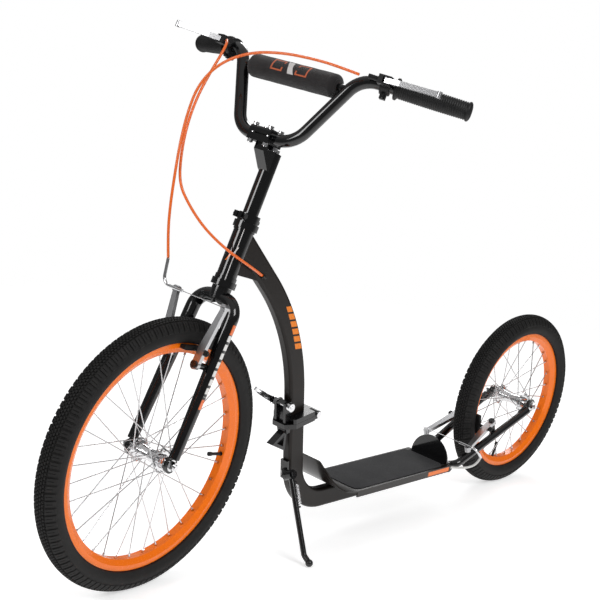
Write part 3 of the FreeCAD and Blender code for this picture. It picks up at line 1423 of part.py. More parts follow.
outline_box = FreeCAD.BoundBox()
for shape in nodes.values():
    outline_box.add(shape.optimalBoundingBox(False))
origin_shift = Vector(-outline_box.Center.x, -outline_box.Center.y, 0)

os.makedirs("parts", exist_ok=True)
for name, shape in nodes.items():
    shape.translate(origin_shift)
    shape.exportStep(f"parts/{name}.step")
print(len(nodes), "nodes", "shift", origin_shift, "box", outline_box)
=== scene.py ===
"""The looks of a folding kick scooter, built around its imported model. Metres, +X forward, +Y left, +Z up."""
import json
import math

import bmesh
import bpy
import numpy as np
from mathutils import Matrix, Vector


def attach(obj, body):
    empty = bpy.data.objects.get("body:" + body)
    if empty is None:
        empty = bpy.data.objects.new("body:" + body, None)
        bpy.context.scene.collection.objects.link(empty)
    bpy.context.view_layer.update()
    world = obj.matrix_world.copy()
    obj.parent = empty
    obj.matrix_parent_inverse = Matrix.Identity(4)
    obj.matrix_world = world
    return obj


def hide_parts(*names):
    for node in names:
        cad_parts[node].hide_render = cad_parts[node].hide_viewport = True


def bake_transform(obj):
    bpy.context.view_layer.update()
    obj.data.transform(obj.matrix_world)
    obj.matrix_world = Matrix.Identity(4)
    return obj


bl_info = {
    "name": "Kick scooter looks",
    "version": (1, 0, 0),
    "blender": (4, 5, 0),
    "location": "View3D > Sidebar > Scooter",
    "description": "Tyres, grips, pad, housings and finishes of a folding kick scooter",
    "category": "Object",
}

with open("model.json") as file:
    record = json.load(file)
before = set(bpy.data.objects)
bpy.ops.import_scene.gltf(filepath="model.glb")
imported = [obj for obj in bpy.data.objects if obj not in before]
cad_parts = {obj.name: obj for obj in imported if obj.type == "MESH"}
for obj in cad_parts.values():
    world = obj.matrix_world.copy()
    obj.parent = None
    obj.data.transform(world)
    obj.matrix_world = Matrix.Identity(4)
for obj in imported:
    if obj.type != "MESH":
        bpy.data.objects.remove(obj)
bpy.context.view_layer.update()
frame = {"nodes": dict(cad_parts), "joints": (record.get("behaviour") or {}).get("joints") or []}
NODES = frame["nodes"]
JOINTS = {joint["name"]: joint for joint in frame["joints"]}


# ---- places --------------------------------------------------------------------------------------
class Place:
    """An origin and three axes in the row frame; local points are rows of (first, second, third)."""

    def __init__(self, origin, first, second, third):
        self.origin = np.array(origin, float)
        self.axes = np.array([first, second, third], float)

    def row(self, points):
        """Local points in the row frame: origin plus each coordinate times its axis."""
        return self.origin + np.asarray(points, float) @ self.axes

    def shifted(self, local):
        """The same axes with the origin moved to a local point."""
        return Place(self.row([local])[0], *self.axes)


def joint_line(name):
    """A joint's point and unit axis."""
    joint = JOINTS[name]
    axis = np.array(joint["axis"], float)
    return np.array(joint["pos_m"], float), axis / np.linalg.norm(axis)


# sizes shared with the CAD source; rises and reaches are along and across the steering axis
WHEELBASE = 1.120
FRONT_TYRE_RADIUS = 0.251
REAR_TYRE_RADIUS = 0.2005
SECTION_RADIUS = 0.025
CLAMP_RISE = 0.211
CLAMP_REACH = 0.037
BAR_BASE_HALF = 0.062
BAR_SHOULDER_HALF = 0.135
BAR_SHOULDER_RISE = 0.354
BAR_SHOULDER_REACH = 0.020
BAR_END_HALF = 0.308
BAR_END_RISE = 0.360
BAR_END_REACH = -0.0614
CROSSBAR_RISE = 0.329
BAR_RADIUS = 0.0111
GRIP_LENGTH = 0.130
GRIP_RADIUS = 0.016
GRIP_FLANGE_RADIUS = 0.019
PAD_RADIUS = 0.021
HOUSING_RADIUS = 0.0025
SPRING_RADIUS = 0.005
SPRING_WIRE = 0.0009
SPRING_TURNS = 15
SURFACE_GAP = 0.0001     # how far a visual surface stays inside or off the CAD one

rear_hub, side_axis = joint_line("rear_wheel_spin")
forward_axis = np.array([1.0, 0.0, 0.0])
upright_axis = np.cross(forward_axis, side_axis)
bike = Place(rear_hub + forward_axis * WHEELBASE - upright_axis * REAR_TYRE_RADIUS,
             forward_axis, side_axis, upright_axis)
rear_wheel = Place(rear_hub, forward_axis, side_axis, upright_axis)

head_point, steer_axis = joint_line("steering_turn")
front_hub, front_side = joint_line("front_wheel_spin")
fore_axis = np.cross(front_side, steer_axis)
steering = Place(head_point, fore_axis, front_side, steer_axis)
front_wheel = Place(front_hub, np.cross(front_side, upright_axis), front_side,
                    np.cross(np.cross(front_side, upright_axis), front_side))


def unit(vector):
    """The vector at length one."""
    vector = np.asarray(vector, float)
    return vector / np.linalg.norm(vector)


def grip_place(sign):
    """The bar's end: first along the grip outwards, second forward, third up, in the row frame."""
    shoulder = steering.row([(BAR_SHOULDER_REACH, sign * BAR_SHOULDER_HALF, BAR_SHOULDER_RISE)])[0]
    end = steering.row([(BAR_END_REACH, sign * BAR_END_HALF, BAR_END_RISE)])[0]
    outward = unit(end - shoulder)
    ahead = unit(fore_axis - outward * fore_axis.dot(outward))
    return Place(end, outward, ahead, np.cross(ahead, outward) * sign)


# ---- mesh making ---------------------------------------------------------------------------------
def grid_quads(rows, columns, wrap_rows=False, wrap_columns=False):
    """Quads of a grid of points numbered row by row; wrapping joins the last row or column to the first."""
    row_steps = np.arange(rows if wrap_rows else rows - 1)
    column_steps = np.arange(columns if wrap_columns else columns - 1)
    row, column = np.meshgrid(row_steps, column_steps, indexing="ij")
    next_row, next_column = (row + 1) % rows, (column + 1) % columns
    corners = [row * columns + column, row * columns + next_column,
               next_row * columns + next_column, next_row * columns + column]
    return np.stack([corner.ravel() for corner in corners], axis=1)


def make_piece(name, points, faces, body, material, uv=None):
    """A smooth mesh piece from an (N, 3) array of row-frame points and a list of index tuples. It rides on a
    body, unless body is None."""
    mesh = bpy.data.meshes.new(name)
    mesh.from_pydata(np.asarray(points, float).tolist(), [], [tuple(map(int, face)) for face in faces])
    mesh.validate()
    mesh.update()
    mesh.polygons.foreach_set("use_smooth", np.full(len(mesh.polygons), True))
    if uv is not None:
        layer = mesh.uv_layers.new(name="UVMap")
        index = np.zeros(len(mesh.loops), np.int32)
        mesh.loops.foreach_get("vertex_index", index)
        layer.data.foreach_set("uv", np.asarray(uv, np.float32)[index].ravel())
    piece = bpy.data.objects.new(name, mesh)
    bpy.context.scene.collection.objects.link(piece)
    piece.data.materials.append(material)
    if body is not None:
        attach(piece, body)
    return piece


def sharp_by_angle(piece, degrees):
    """Marks edges sharper than an angle, so that flats stay flat and rounds stay smooth."""
    piece.data.set_sharp_from_angle(angle=math.radians(degrees))


def recalculate_outside(piece):
    """Turns all faces outwards."""
    shape = bmesh.new()
    shape.from_mesh(piece.data)
    bmesh.ops.recalc_face_normals(shape, faces=shape.faces)
    shape.to_mesh(piece.data)
    shape.free()


def fan(ring, next_ring, tip):
    """Triangles from each edge of a ring, given by its two ends, to one tip point."""
    return list(zip(ring, next_ring, np.full(len(ring), tip)))


def swept_tube(path, radius, sides, reference):
    """A round tube along a path. Around each path point p stands a circle p + r (cos a n + sin a b), with
    n across the path and a fixed reference direction, and b across both. Ends are closed by a fan."""
    path = np.asarray(path, float)
    tangent = np.gradient(path, axis=0)
    tangent /= np.linalg.norm(tangent, axis=1)[:, None]
    across = np.cross(tangent, np.asarray(reference, float))
    across /= np.linalg.norm(across, axis=1)[:, None]
    other = np.cross(tangent, across)
    angle = np.linspace(0, 2 * math.pi, sides, endpoint=False)
    points = (path[:, None, :] + radius * (np.cos(angle)[None, :, None] * across[:, None, :]
                                           + np.sin(angle)[None, :, None] * other[:, None, :]))
    points = points.reshape(-1, 3)
    faces = [tuple(quad[::-1]) for quad in grid_quads(len(path), sides, wrap_columns=True)]
    first, last = len(points), len(points) + 1
    points = np.vstack([points, path[:1], path[-1:]])
    ring = np.arange(sides)
    ring_next = (ring + 1) % sides
    base = (len(path) - 1) * sides
    faces += fan(ring, ring_next, first) + fan(base + ring_next, base + ring, last)
    return points, faces


def spline_points(points):
    """Points read along a smooth NURBS line whose control points are the given ones."""
    curve = bpy.data.curves.new("line", "CURVE")
    curve.dimensions = "3D"
    spline = curve.splines.new("NURBS")
    spline.points.add(len(points) - 1)
    spline.points.foreach_set("co", np.hstack([points, np.ones((len(points), 1))]).astype(np.float32).ravel())
    spline.order_u = 3
    spline.use_endpoint_u = True
    spline.resolution_u = 12
    holder = bpy.data.objects.new("line", curve)
    bpy.context.scene.collection.objects.link(holder)
    bpy.context.view_layer.update()
    mesh = bpy.data.meshes.new_from_object(holder.evaluated_get(bpy.context.evaluated_depsgraph_get()))
    line = np.zeros(len(mesh.vertices) * 3, np.float32)
    mesh.vertices.foreach_get("co", line)
    bpy.data.objects.remove(holder)
    bpy.data.curves.remove(curve)
    bpy.data.meshes.remove(mesh)
    return line.reshape(-1, 3).astype(float)


def finish_node(name, material):
    """Gives a CAD node its material."""
    node = NODES[name]
    node.data.materials.clear()
    node.data.materials.append(material)


# ---- shader groups -------------------------------------------------------------------------------
def new_group(name, inputs, outputs):
    """An empty shader group with (name, socket type, default) inputs and (name, socket type) outputs."""
    group = bpy.data.node_groups.new(name, "ShaderNodeTree")
    for label, kind, default in inputs:
        socket = group.interface.new_socket(name=label, in_out="INPUT", socket_type=kind)
        socket.default_value = default
    for label, kind in outputs:
        group.interface.new_socket(name=label, in_out="OUTPUT", socket_type=kind)
    return group, group.nodes.new("NodeGroupInput"), group.nodes.new("NodeGroupOutput")


def add_noise(tree, vector, scale, detail=3.0, roughness=0.5):
    """A noise texture on a vector socket; returns its value."""
    noise = tree.nodes.new("ShaderNodeTexNoise")
    noise.inputs["Detail"].default_value = detail
    noise.inputs["Roughness"].default_value = roughness
    noise.inputs["Scale"].default_value = scale
    tree.links.new(vector, noise.inputs["Vector"])
    return noise.outputs["Fac"]


def add_math(tree, operation, first, second=None, clamp=False):
    """A maths node on sockets or numbers."""
    node = tree.nodes.new("ShaderNodeMath")
    node.operation = operation
    node.use_clamp = clamp
    for value, socket in zip((first, second), node.inputs):
        if value is None:
            continue
        if isinstance(value, (int, float)):
            socket.default_value = value
        else:
            tree.links.new(value, socket)
    return node.outputs[0]


def product(tree, first, *others):
    """Sockets multiplied one after another."""
    for other in others:
        first = add_math(tree, "MULTIPLY", first, other)
    return first


def add_mix(tree, factor, first, second):
    """A colour mix; each of first and second is a socket or an RGB tuple."""
    node = tree.nodes.new("ShaderNodeMix")
    node.data_type = "RGBA"
    for value, socket in ((factor, node.inputs[0]), (first, node.inputs[6]), (second, node.inputs[7])):
        if isinstance(value, (int, float)):
            socket.default_value = value
        elif isinstance(value, tuple):
            socket.default_value = (*value, 1.0)
        else:
            tree.links.new(value, socket)
    return node.outputs[2]


def add_range(tree, value, low, high, to_low=0.0, to_high=1.0):
    """A clamped map range."""
    node = tree.nodes.new("ShaderNodeMapRange")
    tree.links.new(value, node.inputs["Value"])
    for name, number in (("From Min", low), ("From Max", high), ("To Min", to_low), ("To Max", to_high)):
        node.inputs[name].default_value = number
    return node.outputs[0]


def make_worn_coat_group():
    """Colour and roughness of a handled surface: slow tone changes, fine mottling, and faint dust."""
    group, source, result = new_group(
        "handled_coat",
        [("Vector", "NodeSocketVector", (0, 0, 0)), ("Color", "NodeSocketColor", (0.5, 0.5, 0.5, 1)),
         ("Dust", "NodeSocketFloat", 0.05), ("Roughness", "NodeSocketFloat", 0.3),
         ("Variation", "NodeSocketFloat", 0.1)],
        [("Color", "NodeSocketColor"), ("Roughness", "NodeSocketFloat"), ("Height", "NodeSocketFloat")])
    vector = source.outputs["Vector"]
    slow = add_noise(group, vector, scale=9.0, detail=2.0)
    fine = add_noise(group, vector, scale=420.0, detail=4.0, roughness=0.6)
    specks = add_noise(group, vector, scale=65.0, detail=6.0, roughness=0.7)
    tone = product(group, add_math(group, "SUBTRACT", slow, 0.5), source.outputs["Variation"])
    tone = add_math(group, "ADD", tone, 1.0)
    scaled = group.nodes.new("ShaderNodeVectorMath")
    scaled.operation = "SCALE"
    group.links.new(source.outputs["Color"], scaled.inputs[0])
    group.links.new(tone, scaled.inputs["Scale"])
    dust = product(group, add_range(group, specks, 0.52, 0.75), source.outputs["Dust"])
    colour = add_mix(group, dust, scaled.outputs[0], (0.33, 0.31, 0.28))
    rough = add_math(group, "ADD", source.outputs["Roughness"],
                     product(group, add_math(group, "SUBTRACT", fine, 0.5), 0.12))
    rough = add_math(group, "ADD", rough, product(group, dust, 0.6), clamp=True)
    group.links.new(colour, result.inputs["Color"])
    group.links.new(rough, result.inputs["Roughness"])
    group.links.new(fine, result.inputs["Height"])
    return group


def make_brushed_group():
    """Fine lines along one direction: noise stretched a hundredfold, as a height and a roughness change."""
    group, source, result = new_group(
        "drawn_lines",
        [("Vector", "NodeSocketVector", (0, 0, 0)), ("Roughness", "NodeSocketFloat", 0.2)],
        [("Roughness", "NodeSocketFloat"), ("Height", "NodeSocketFloat")])
    stretch = group.nodes.new("ShaderNodeMapping")
    stretch.inputs["Scale"].default_value = (30.0, 900.0, 900.0)
    group.links.new(source.outputs["Vector"], stretch.inputs["Vector"])
    lines = add_noise(group, stretch.outputs["Vector"], scale=1.0, detail=2.0)
    rough = add_math(group, "ADD", source.outputs["Roughness"],
                     product(group, add_math(group, "SUBTRACT", lines, 0.5), 0.10), clamp=True)
    group.links.new(rough, result.inputs["Roughness"])
    group.links.new(lines, result.inputs["Height"])
    return group


def make_weave_group():
    """Over-and-under threads in UV space: two sine waves whose product changes sign from cell to cell."""
    group, source, result = new_group(
        "woven_threads",
        [("Vector", "NodeSocketVector", (0, 0, 0)), ("Threads", "NodeSocketFloat", 200.0)],
        [("Mask", "NodeSocketFloat"), ("Height", "NodeSocketFloat")])
    split = group.nodes.new("ShaderNodeSeparateXYZ")
    group.links.new(source.outputs["Vector"], split.inputs[0])
    waves = []
    for axis in ("X", "Y"):
        phase = product(group, split.outputs[axis], source.outputs["Threads"])
        waves.append(add_math(group, "SINE", phase))
    mask = add_math(group, "ADD", product(group, *waves, 0.5), 0.5)
    fuzz = add_noise(group, source.outputs["Vector"], scale=900.0)
    height = add_math(group, "ADD", mask, product(group, fuzz, 0.4))
    group.links.new(mask, result.inputs["Mask"])
    group.links.new(height, result.inputs["Height"])
    return group


GROUP_MAKERS = {"handled_coat": make_worn_coat_group, "drawn_lines": make_brushed_group,
                "woven_threads": make_weave_group}
GROUPS = {}


def use_group(tree, name, vector, **values):
    """Places one of the shared groups in a material, feeds its vector and sets its named values."""
    if name not in GROUPS:
        GROUPS[name] = GROUP_MAKERS[name]()
    node = tree.nodes.new("ShaderNodeGroup")
    node.node_tree = GROUPS[name]
    tree.links.new(vector, node.inputs["Vector"])
    for label, value in values.items():
        node.inputs[label].default_value = value
    return node


def add_bump(tree, shader, height, distance):
    """A bump on the shader's normal, with its distance in metres."""
    bump = tree.nodes.new("ShaderNodeBump")
    bump.inputs["Strength"].default_value = 1.0
    bump.inputs["Distance"].default_value = distance
    tree.links.new(height, bump.inputs["Height"])
    tree.links.new(bump.outputs["Normal"], shader.inputs["Normal"])


# ---- materials -----------------------------------------------------------------------------------
MATERIALS = {}


def new_material(name, **sockets):
    """A material with its Principled shader and the constants set on that shader's own sockets."""
    material = bpy.data.materials.new(name)
    material.use_nodes = True
    tree = material.node_tree
    shader = tree.nodes["Principled BSDF"]
    for label, value in sockets.items():
        shader.inputs[label.replace("_", " ")].default_value = value
    coordinates = tree.nodes.new("ShaderNodeTexCoord")
    return material, tree, shader, coordinates


def placed_parts(tree, coordinates, place):
    """Object coordinates turned into a place's three: the dot product with each axis, less the origin's."""
    parts = []
    for axis in place.axes:
        dot = tree.nodes.new("ShaderNodeVectorMath")
        dot.operation = "DOT_PRODUCT"
        dot.inputs[1].default_value = tuple(axis)
        tree.links.new(coordinates.outputs["Object"], dot.inputs[0])
        parts.append(add_math(tree, "SUBTRACT", dot.outputs["Value"], float(place.origin @ axis)))
    return parts


def band(tree, value, low, high, soft=0.0004):
    """1 between two values and 0 outside."""
    rise = add_range(tree, value, low - soft, low + soft)
    fall = add_range(tree, value, high - soft, high + soft, 1.0, 0.0)
    return add_math(tree, "MULTIPLY", rise, fall)


def coated(name, colour, roughness, variation, dust, coat=0.0, overlay=None, specular=0.5):
    """A coated or moulded surface; the optional mark function takes (tree, coordinates) and returns a list of
    (mask, colour) to lay over it: printed marks, and on the head tube also a painted highlight line."""
    material, tree, shader, coordinates = new_material(
        name, Coat_Weight=coat, Coat_Roughness=0.04, Specular_IOR_Level=specular)
    group = use_group(tree, "handled_coat", coordinates.outputs["Object"], Dust=dust, Roughness=roughness,
                      Variation=variation, Color=(*colour, 1.0))
    if overlay is not None:
        shade = colour
        # each mark's colour is mixed over the coat: print, and on the head tube a painted highlight
        for mask, mark_colour in overlay(tree, coordinates):
            shade = add_mix(tree, mask, shade, mark_colour)
        tree.links.new(shade, group.inputs["Color"])
    tree.links.new(group.outputs["Color"], shader.inputs["Base Color"])
    tree.links.new(group.outputs["Roughness"], shader.inputs["Roughness"])
    add_bump(tree, shader, group.outputs["Height"], distance=0.00002)
    return material


def polished(name, colour, roughness):
    """A bright metal with fine drawn lines."""
    material, tree, shader, coordinates = new_material(name, Metallic=1.0, Specular_IOR_Level=0.5)
    lines = use_group(tree, "drawn_lines", coordinates.outputs["Object"], Roughness=roughness)
    coat = use_group(tree, "handled_coat", coordinates.outputs["Object"], Color=(*colour, 1.0), Dust=0.04,
                     Variation=0.12)
    tree.links.new(coat.outputs["Color"], shader.inputs["Base Color"])
    tree.links.new(lines.outputs["Roughness"], shader.inputs["Roughness"])
    add_bump(tree, shader, lines.outputs["Height"], distance=0.000002)
    return material


def fork_stripe(tree, coordinates):
    """A broken white and orange stripe down the outer face of each fork blade."""
    dashes_per_metre = 62.0
    blade_start, blade_slope = 0.084, -0.0625
    white_low, white_high, top_tip, low_tip_low, low_tip_high = -0.245, -0.130, -0.112, -0.268, -0.250
    fore, aside, rise = placed_parts(tree, coordinates, steering)
    outer = add_range(tree, add_math(tree, "ABSOLUTE", aside), 0.0535, 0.0545)
    dashes = add_math(tree, "FRACT", product(tree, rise, dashes_per_metre))
    # the blade's centre line leans forward as it goes down
    centre_line = product(tree, add_math(tree, "ADD", rise, blade_start), blade_slope)
    width = band(tree, add_math(tree, "SUBTRACT", fore, centre_line), -0.0055, 0.0040)
    white = product(tree, band(tree, rise, white_low, white_high), band(tree, dashes, 0.16, 0.84, 0.03),
                    width, outer)
    tips = add_math(tree, "ADD", band(tree, rise, white_high, top_tip),
                    band(tree, rise, low_tip_low, low_tip_high))
    return [(white, (0.80, 0.79, 0.77)), (product(tree, tips, width, outer), (0.85, 0.16, 0.02))]


def frame_band(tree, coordinates):
    """A row of orange bars along each side of the upper tube."""
    bars_per_metre = 66.0
    row_low, row_high = 0.411, 0.498
    curve_start, curve_slope, curve_bend = 0.36, 0.27, 1.26
    ahead, aside, height = placed_parts(tree, coordinates, bike)
    along = band(tree, height, row_low, row_high)
    outer = add_range(tree, add_math(tree, "ABSOLUTE", aside), 0.0104, 0.0108)
    # past its start the tube's rear edge runs forward by slope * t + bend * t^2, at a height t above it
    rise = add_math(tree, "SUBTRACT", height, curve_start)
    curve = product(tree, add_math(tree, "ADD", product(tree, rise, curve_bend), curve_slope), rise)
    across = band(tree, add_math(tree, "SUBTRACT", ahead, curve), -0.3645, -0.3425)
    bars = add_math(tree, "FRACT", product(tree, height, bars_per_metre))
    bars = band(tree, bars, 0.12, 0.86, 0.03)
    return [(product(tree, along, outer, product(tree, across, bars)), (0.90, 0.24, 0.02))]


def head_highlight_and_marks(tree, coordinates):
    """A painted highlight: a thin white line up the head tube's front left, on the side facing the camera,
    where a lamp's reflection runs; with two small slanted printed marks beside it.
    """
    # the heading turns towards the camera, so the line lies where the painted highlight falls
    heading = math.radians(38)
    slant = 0.35
    edge = 0.0002
    fore, aside, rise = placed_parts(tree, coordinates, steering)
    outward = add_math(tree, "ADD", product(tree, fore, math.cos(heading)),
                       product(tree, aside, math.sin(heading)))
    across = add_math(tree, "SUBTRACT", product(tree, aside, math.cos(heading)),
                      product(tree, fore, math.sin(heading)))
    near = add_range(tree, outward, 0.004, 0.005)
    line = product(tree, band(tree, across, -0.0007, 0.0007, edge), near)
    slanted = add_math(tree, "SUBTRACT", across, product(tree, rise, slant))
    # the first entry is the painted highlight line; the two after it are printed marks
    marks = [(line, (0.75, 0.74, 0.73))]
    for low, high, bottom, top, mark_colour in ((-0.0045, -0.0025, 0.000, 0.016, (0.80, 0.79, 0.78)),
                                        (-0.0085, -0.0062, -0.012, 0.004, (0.90, 0.20, 0.02))):
        mark = product(tree, band(tree, slanted, low, high, edge), band(tree, rise, bottom, top, 0.0003))
        marks.append((product(tree, mark, near), mark_colour))
    return marks


def deck_side_band(tree, coordinates):
    """A short orange flash on the deck's edge, near the rear."""
    ahead, aside, height = placed_parts(tree, coordinates, bike)
    outer = add_range(tree, add_math(tree, "ABSOLUTE", aside), 0.0584, 0.0588)
    flash = product(tree, band(tree, ahead, -0.832, -0.760, 0.002),
                    band(tree, height, 0.0935, 0.1025, 0.0008))
    return [(product(tree, outer, flash), (0.90, 0.20, 0.03))]


def rubber(name, colour, roughness, grain_scale, grain_depth):
    """Moulded rubber: slow tone changes and a fine grain."""
    material, tree, shader, coordinates = new_material(name, Specular_IOR_Level=0.35)
    group = use_group(tree, "handled_coat", coordinates.outputs["Object"], Color=(*colour, 1.0),
                      Roughness=roughness, Variation=0.5, Dust=0.03)
    tree.links.new(group.outputs["Color"], shader.inputs["Base Color"])
    tree.links.new(group.outputs["Roughness"], shader.inputs["Roughness"])
    grain = add_noise(tree, coordinates.outputs["Object"], scale=grain_scale, detail=4.0)
    add_bump(tree, shader, grain, distance=grain_depth)
    return material


def grit_sheet():
    """The deck's sheet: dark grey with a coarse grit, and light grey specks painted into its colour as glints.
    """
    material, tree, shader, coordinates = new_material("grit_sheet", Specular_IOR_Level=0.4)
    cells = tree.nodes.new("ShaderNodeTexVoronoi")
    cells.inputs["Scale"].default_value = 900.0
    tree.links.new(coordinates.outputs["Object"], cells.inputs["Vector"])
    grit = add_range(tree, cells.outputs["Distance"], 0.1, 0.6, 1.0, 0.0)
    slow = add_noise(tree, coordinates.outputs["Object"], scale=14.0)
    shade = add_mix(tree, add_range(tree, slow, 0.3, 0.7), (0.036, 0.036, 0.038), (0.052, 0.052, 0.054))
    # painted glints: small light grey specks mixed into the colour where the grit would sparkle in the light
    painted_glint = add_range(tree, add_noise(tree, coordinates.outputs["Object"], scale=1500.0), 0.64, 0.70)
    shade = add_mix(tree, product(tree, painted_glint, 0.35), shade, (0.30, 0.30, 0.31))
    tree.links.new(shade, shader.inputs["Base Color"])
    tree.links.new(add_range(tree, grit, 0.0, 1.0, 0.92, 0.65), shader.inputs["Roughness"])
    add_bump(tree, shader, grit, distance=0.0004)
    return material


def pad_cloth():
    """The pad's woven cover with a plain printed motif: two open brackets round a slanted bar."""
    material, tree, shader, coordinates = new_material(
        "pad_cloth", Sheen_Weight=0.25, Sheen_Roughness=0.5, Specular_IOR_Level=0.25, Roughness=0.82)
    split = tree.nodes.new("ShaderNodeSeparateXYZ")
    tree.links.new(coordinates.outputs["UV"], split.inputs[0])
    along, around = split.outputs["X"], split.outputs["Y"]
    # x runs along the pad and y around it, from the motif's middle; the factors shrink the motif's sizes
    x = product(tree, add_math(tree, "SUBTRACT", along, 0.5), 0.80)
    y = product(tree, add_math(tree, "SUBTRACT", around, 0.5), 0.95)
    edge = 0.0003
    size_x = add_math(tree, "ABSOLUTE", x)
    tall = band(tree, y, -0.0115, 0.0115, edge)
    frame_outer = product(tree, band(tree, size_x, 0.0120, 0.0330, edge), tall)
    frame_inner = product(tree, band(tree, size_x, 0.0, 0.0305, edge), band(tree, y, -0.0090, 0.0090, edge))
    brackets = add_math(tree, "SUBTRACT", frame_outer, frame_inner, clamp=True)
    notch = band(tree, y, -0.0040, 0.0040, edge)
    inner_hook = product(tree, band(tree, size_x, 0.0120, 0.0144, edge),
                         add_math(tree, "SUBTRACT", tall, notch, clamp=True))
    brackets = add_math(tree, "MAXIMUM", brackets, inner_hook)
    slanted = add_math(tree, "ABSOLUTE", add_math(tree, "ADD", x, product(tree, y, 0.35)))
    waist = add_math(tree, "SUBTRACT", slanted, product(tree, add_math(tree, "ABSOLUTE", y), 0.10))
    bar = product(tree, band(tree, waist, -0.01, 0.0042, edge), band(tree, y, -0.0125, 0.0125, edge))
    weave = use_group(tree, "woven_threads", coordinates.outputs["UV"], Threads=5200.0)
    slow = add_noise(tree, coordinates.outputs["Object"], scale=30.0)
    cloth = add_mix(tree, weave.outputs["Mask"], (0.008, 0.0075, 0.008), (0.028, 0.025, 0.026))
    cloth = add_mix(tree, product(tree, slow, 0.35), cloth, (0.034, 0.031, 0.032))
    shade = add_mix(tree, brackets, cloth, (0.72, 0.16, 0.06))
    shade = add_mix(tree, bar, shade, (0.82, 0.81, 0.80))
    tree.links.new(shade, shader.inputs["Base Color"])
    add_bump(tree, shader, weave.outputs["Height"], distance=0.00035)
    return material


def make_materials(settings):
    """Every finish of the scooter, by name."""
    orange = tuple(settings.rim_colour)
    black = tuple(settings.black_colour)
    tube = tuple(settings.tube_colour)
    enamel = {"roughness": 0.13, "variation": 0.15, "dust": 0.01, "coat": 0.6, "specular": 0.35}
    MATERIALS.update({
        "black": coated("gloss_black", black, **enamel),
        "fork": coated("gloss_black_fork", black, overlay=fork_stripe, **enamel),
        # the head tube's marks hold a painted highlight line besides two printed marks
        "head": coated("gloss_black_head", black, overlay=head_highlight_and_marks, **enamel),
        "tube": coated("dark_tube", tube, roughness=0.36, variation=0.2, dust=0.005, coat=0.05,
                       overlay=frame_band, specular=0.22),
        "deck": coated("deck_black", tube, roughness=0.30, variation=0.2, dust=0.02, coat=0.2,
                       overlay=deck_side_band, specular=0.35),
        "hinge": coated("hinge_black", black, roughness=0.26, variation=0.2, dust=0.01, coat=0.4,
                        specular=0.4),
        "plastic": coated("satin_black_plastic", (0.009, 0.009, 0.010), roughness=0.42, variation=0.2,
                          dust=0.02, specular=0.35),
        "orange": coated("orange_rim_coat", orange, roughness=0.26, variation=0.08, dust=0.0, coat=0.2,
                         specular=0.4),
        "chrome": polished("chrome_plate", (0.74, 0.74, 0.75), roughness=0.12),
        "steel": polished("bright_wire", (0.66, 0.66, 0.67), roughness=0.25),
        "silver": polished("forged_aluminium", (0.50, 0.50, 0.51), roughness=0.30),
        "tyre": rubber("tyre_rubber", (0.0075, 0.0070, 0.0068), roughness=0.72, grain_scale=700.0,
                       grain_depth=0.00012),
        "grip": rubber("grip_rubber", (0.009, 0.009, 0.0095), roughness=0.50, grain_scale=900.0,
                       grain_depth=0.00008),
        "pad_block": rubber("brake_block", (0.008, 0.008, 0.008), roughness=0.65, grain_scale=800.0,
                            grain_depth=0.00008),
        "grit": grit_sheet(),
        "cloth": pad_cloth(),
        "orange_housing": coated("orange_housing", (0.95, 0.17, 0.02), roughness=0.35, variation=0.15,
                                 dust=0.0, coat=0.2),
        "silver_housing": coated("silver_housing", (0.62, 0.62, 0.60), roughness=0.35, variation=0.15,
                                 dust=0.02, coat=0.2),
    })


# ---- user sizes and colours ----------------------------------------------------------------------
class ScooterLooks(bpy.types.PropertyGroup):
    """Colours of the scooter."""
    rim_colour: bpy.props.FloatVectorProperty(
        name="Rim colour", description="Colour of both rims", default=(0.98, 0.185, 0.002), subtype="COLOR")
    black_colour: bpy.props.FloatVectorProperty(
        name="Black enamel", description="Colour of the fork, stem and handlebar",
        default=(0.003, 0.003, 0.0035), subtype="COLOR")
    tube_colour: bpy.props.FloatVectorProperty(
        name="Frame tube colour", description="Colour of the frame tubes and deck",
        default=(0.0105, 0.0075, 0.006), subtype="COLOR")


class TyreSizes(bpy.types.PropertyGroup):
    """Sizes of the tyre tread."""
    tread_pitch: bpy.props.FloatProperty(
        name="Tread pitch", description="Distance from one shoulder lug to the next", default=0.0141,
        unit="LENGTH")
    tread_depth: bpy.props.FloatProperty(
        name="Tread depth", description="Height of the tread blocks", default=0.0024, unit="LENGTH")


class StageSizes(bpy.types.PropertyGroup):
    """Camera and light of the stage."""
    focal_length: bpy.props.FloatProperty(
        name="Focal length", description="Camera focal length", default=87.28, unit="CAMERA")
    camera_distance: bpy.props.FloatProperty(
        name="Camera distance", description="Distance from the camera to its target", default=2.76495,
        unit="LENGTH")
    light_power: bpy.props.FloatProperty(
        name="Light power", description="Scale of all lamp powers", default=1.0)


# ---- tyres ---------------------------------------------------------------------------------------
def tread_height(pitch_share, angle, depth):
    """Height of the tread over the casing. pitch_share is the place within one lug's pitch, 0 to 1; angle is
    the place on the section in degrees from the crown. The middle has five staggered columns of blocks, the
    shoulders have one long lug a pitch, and each block's edge rises linearly over its flank."""
    size = np.abs(angle)

    def plateau(value, low, high, flank):
        return np.clip((value - low) / flank, 0, 1) * np.clip((high - value) / flank, 0, 1)

    height = np.zeros(np.broadcast(pitch_share, angle).shape)
    for column in range(5):
        centre = (column - 2) * 11.0
        rows = plateau(angle, centre - 5.0, centre + 5.0, 1.6)
        share = (pitch_share * 2 + 0.5 * (column % 2)) % 1.0
        height = np.maximum(height, rows * plateau(share, 0.10, 0.86, 0.07))
    lug = plateau(size, 30.0, 78.0, 3.0) * plateau(pitch_share, 0.10, 0.90, 0.05)
    height = np.maximum(height, lug * (1 - 0.35 * np.clip((size - 45) / 33, 0, 1)))
    sipe = plateau(size, 36.0, 62.0, 2.0) * plateau(pitch_share, 0.46, 0.54, 0.02)
    return depth * np.maximum(height - 0.7 * sipe, 0)


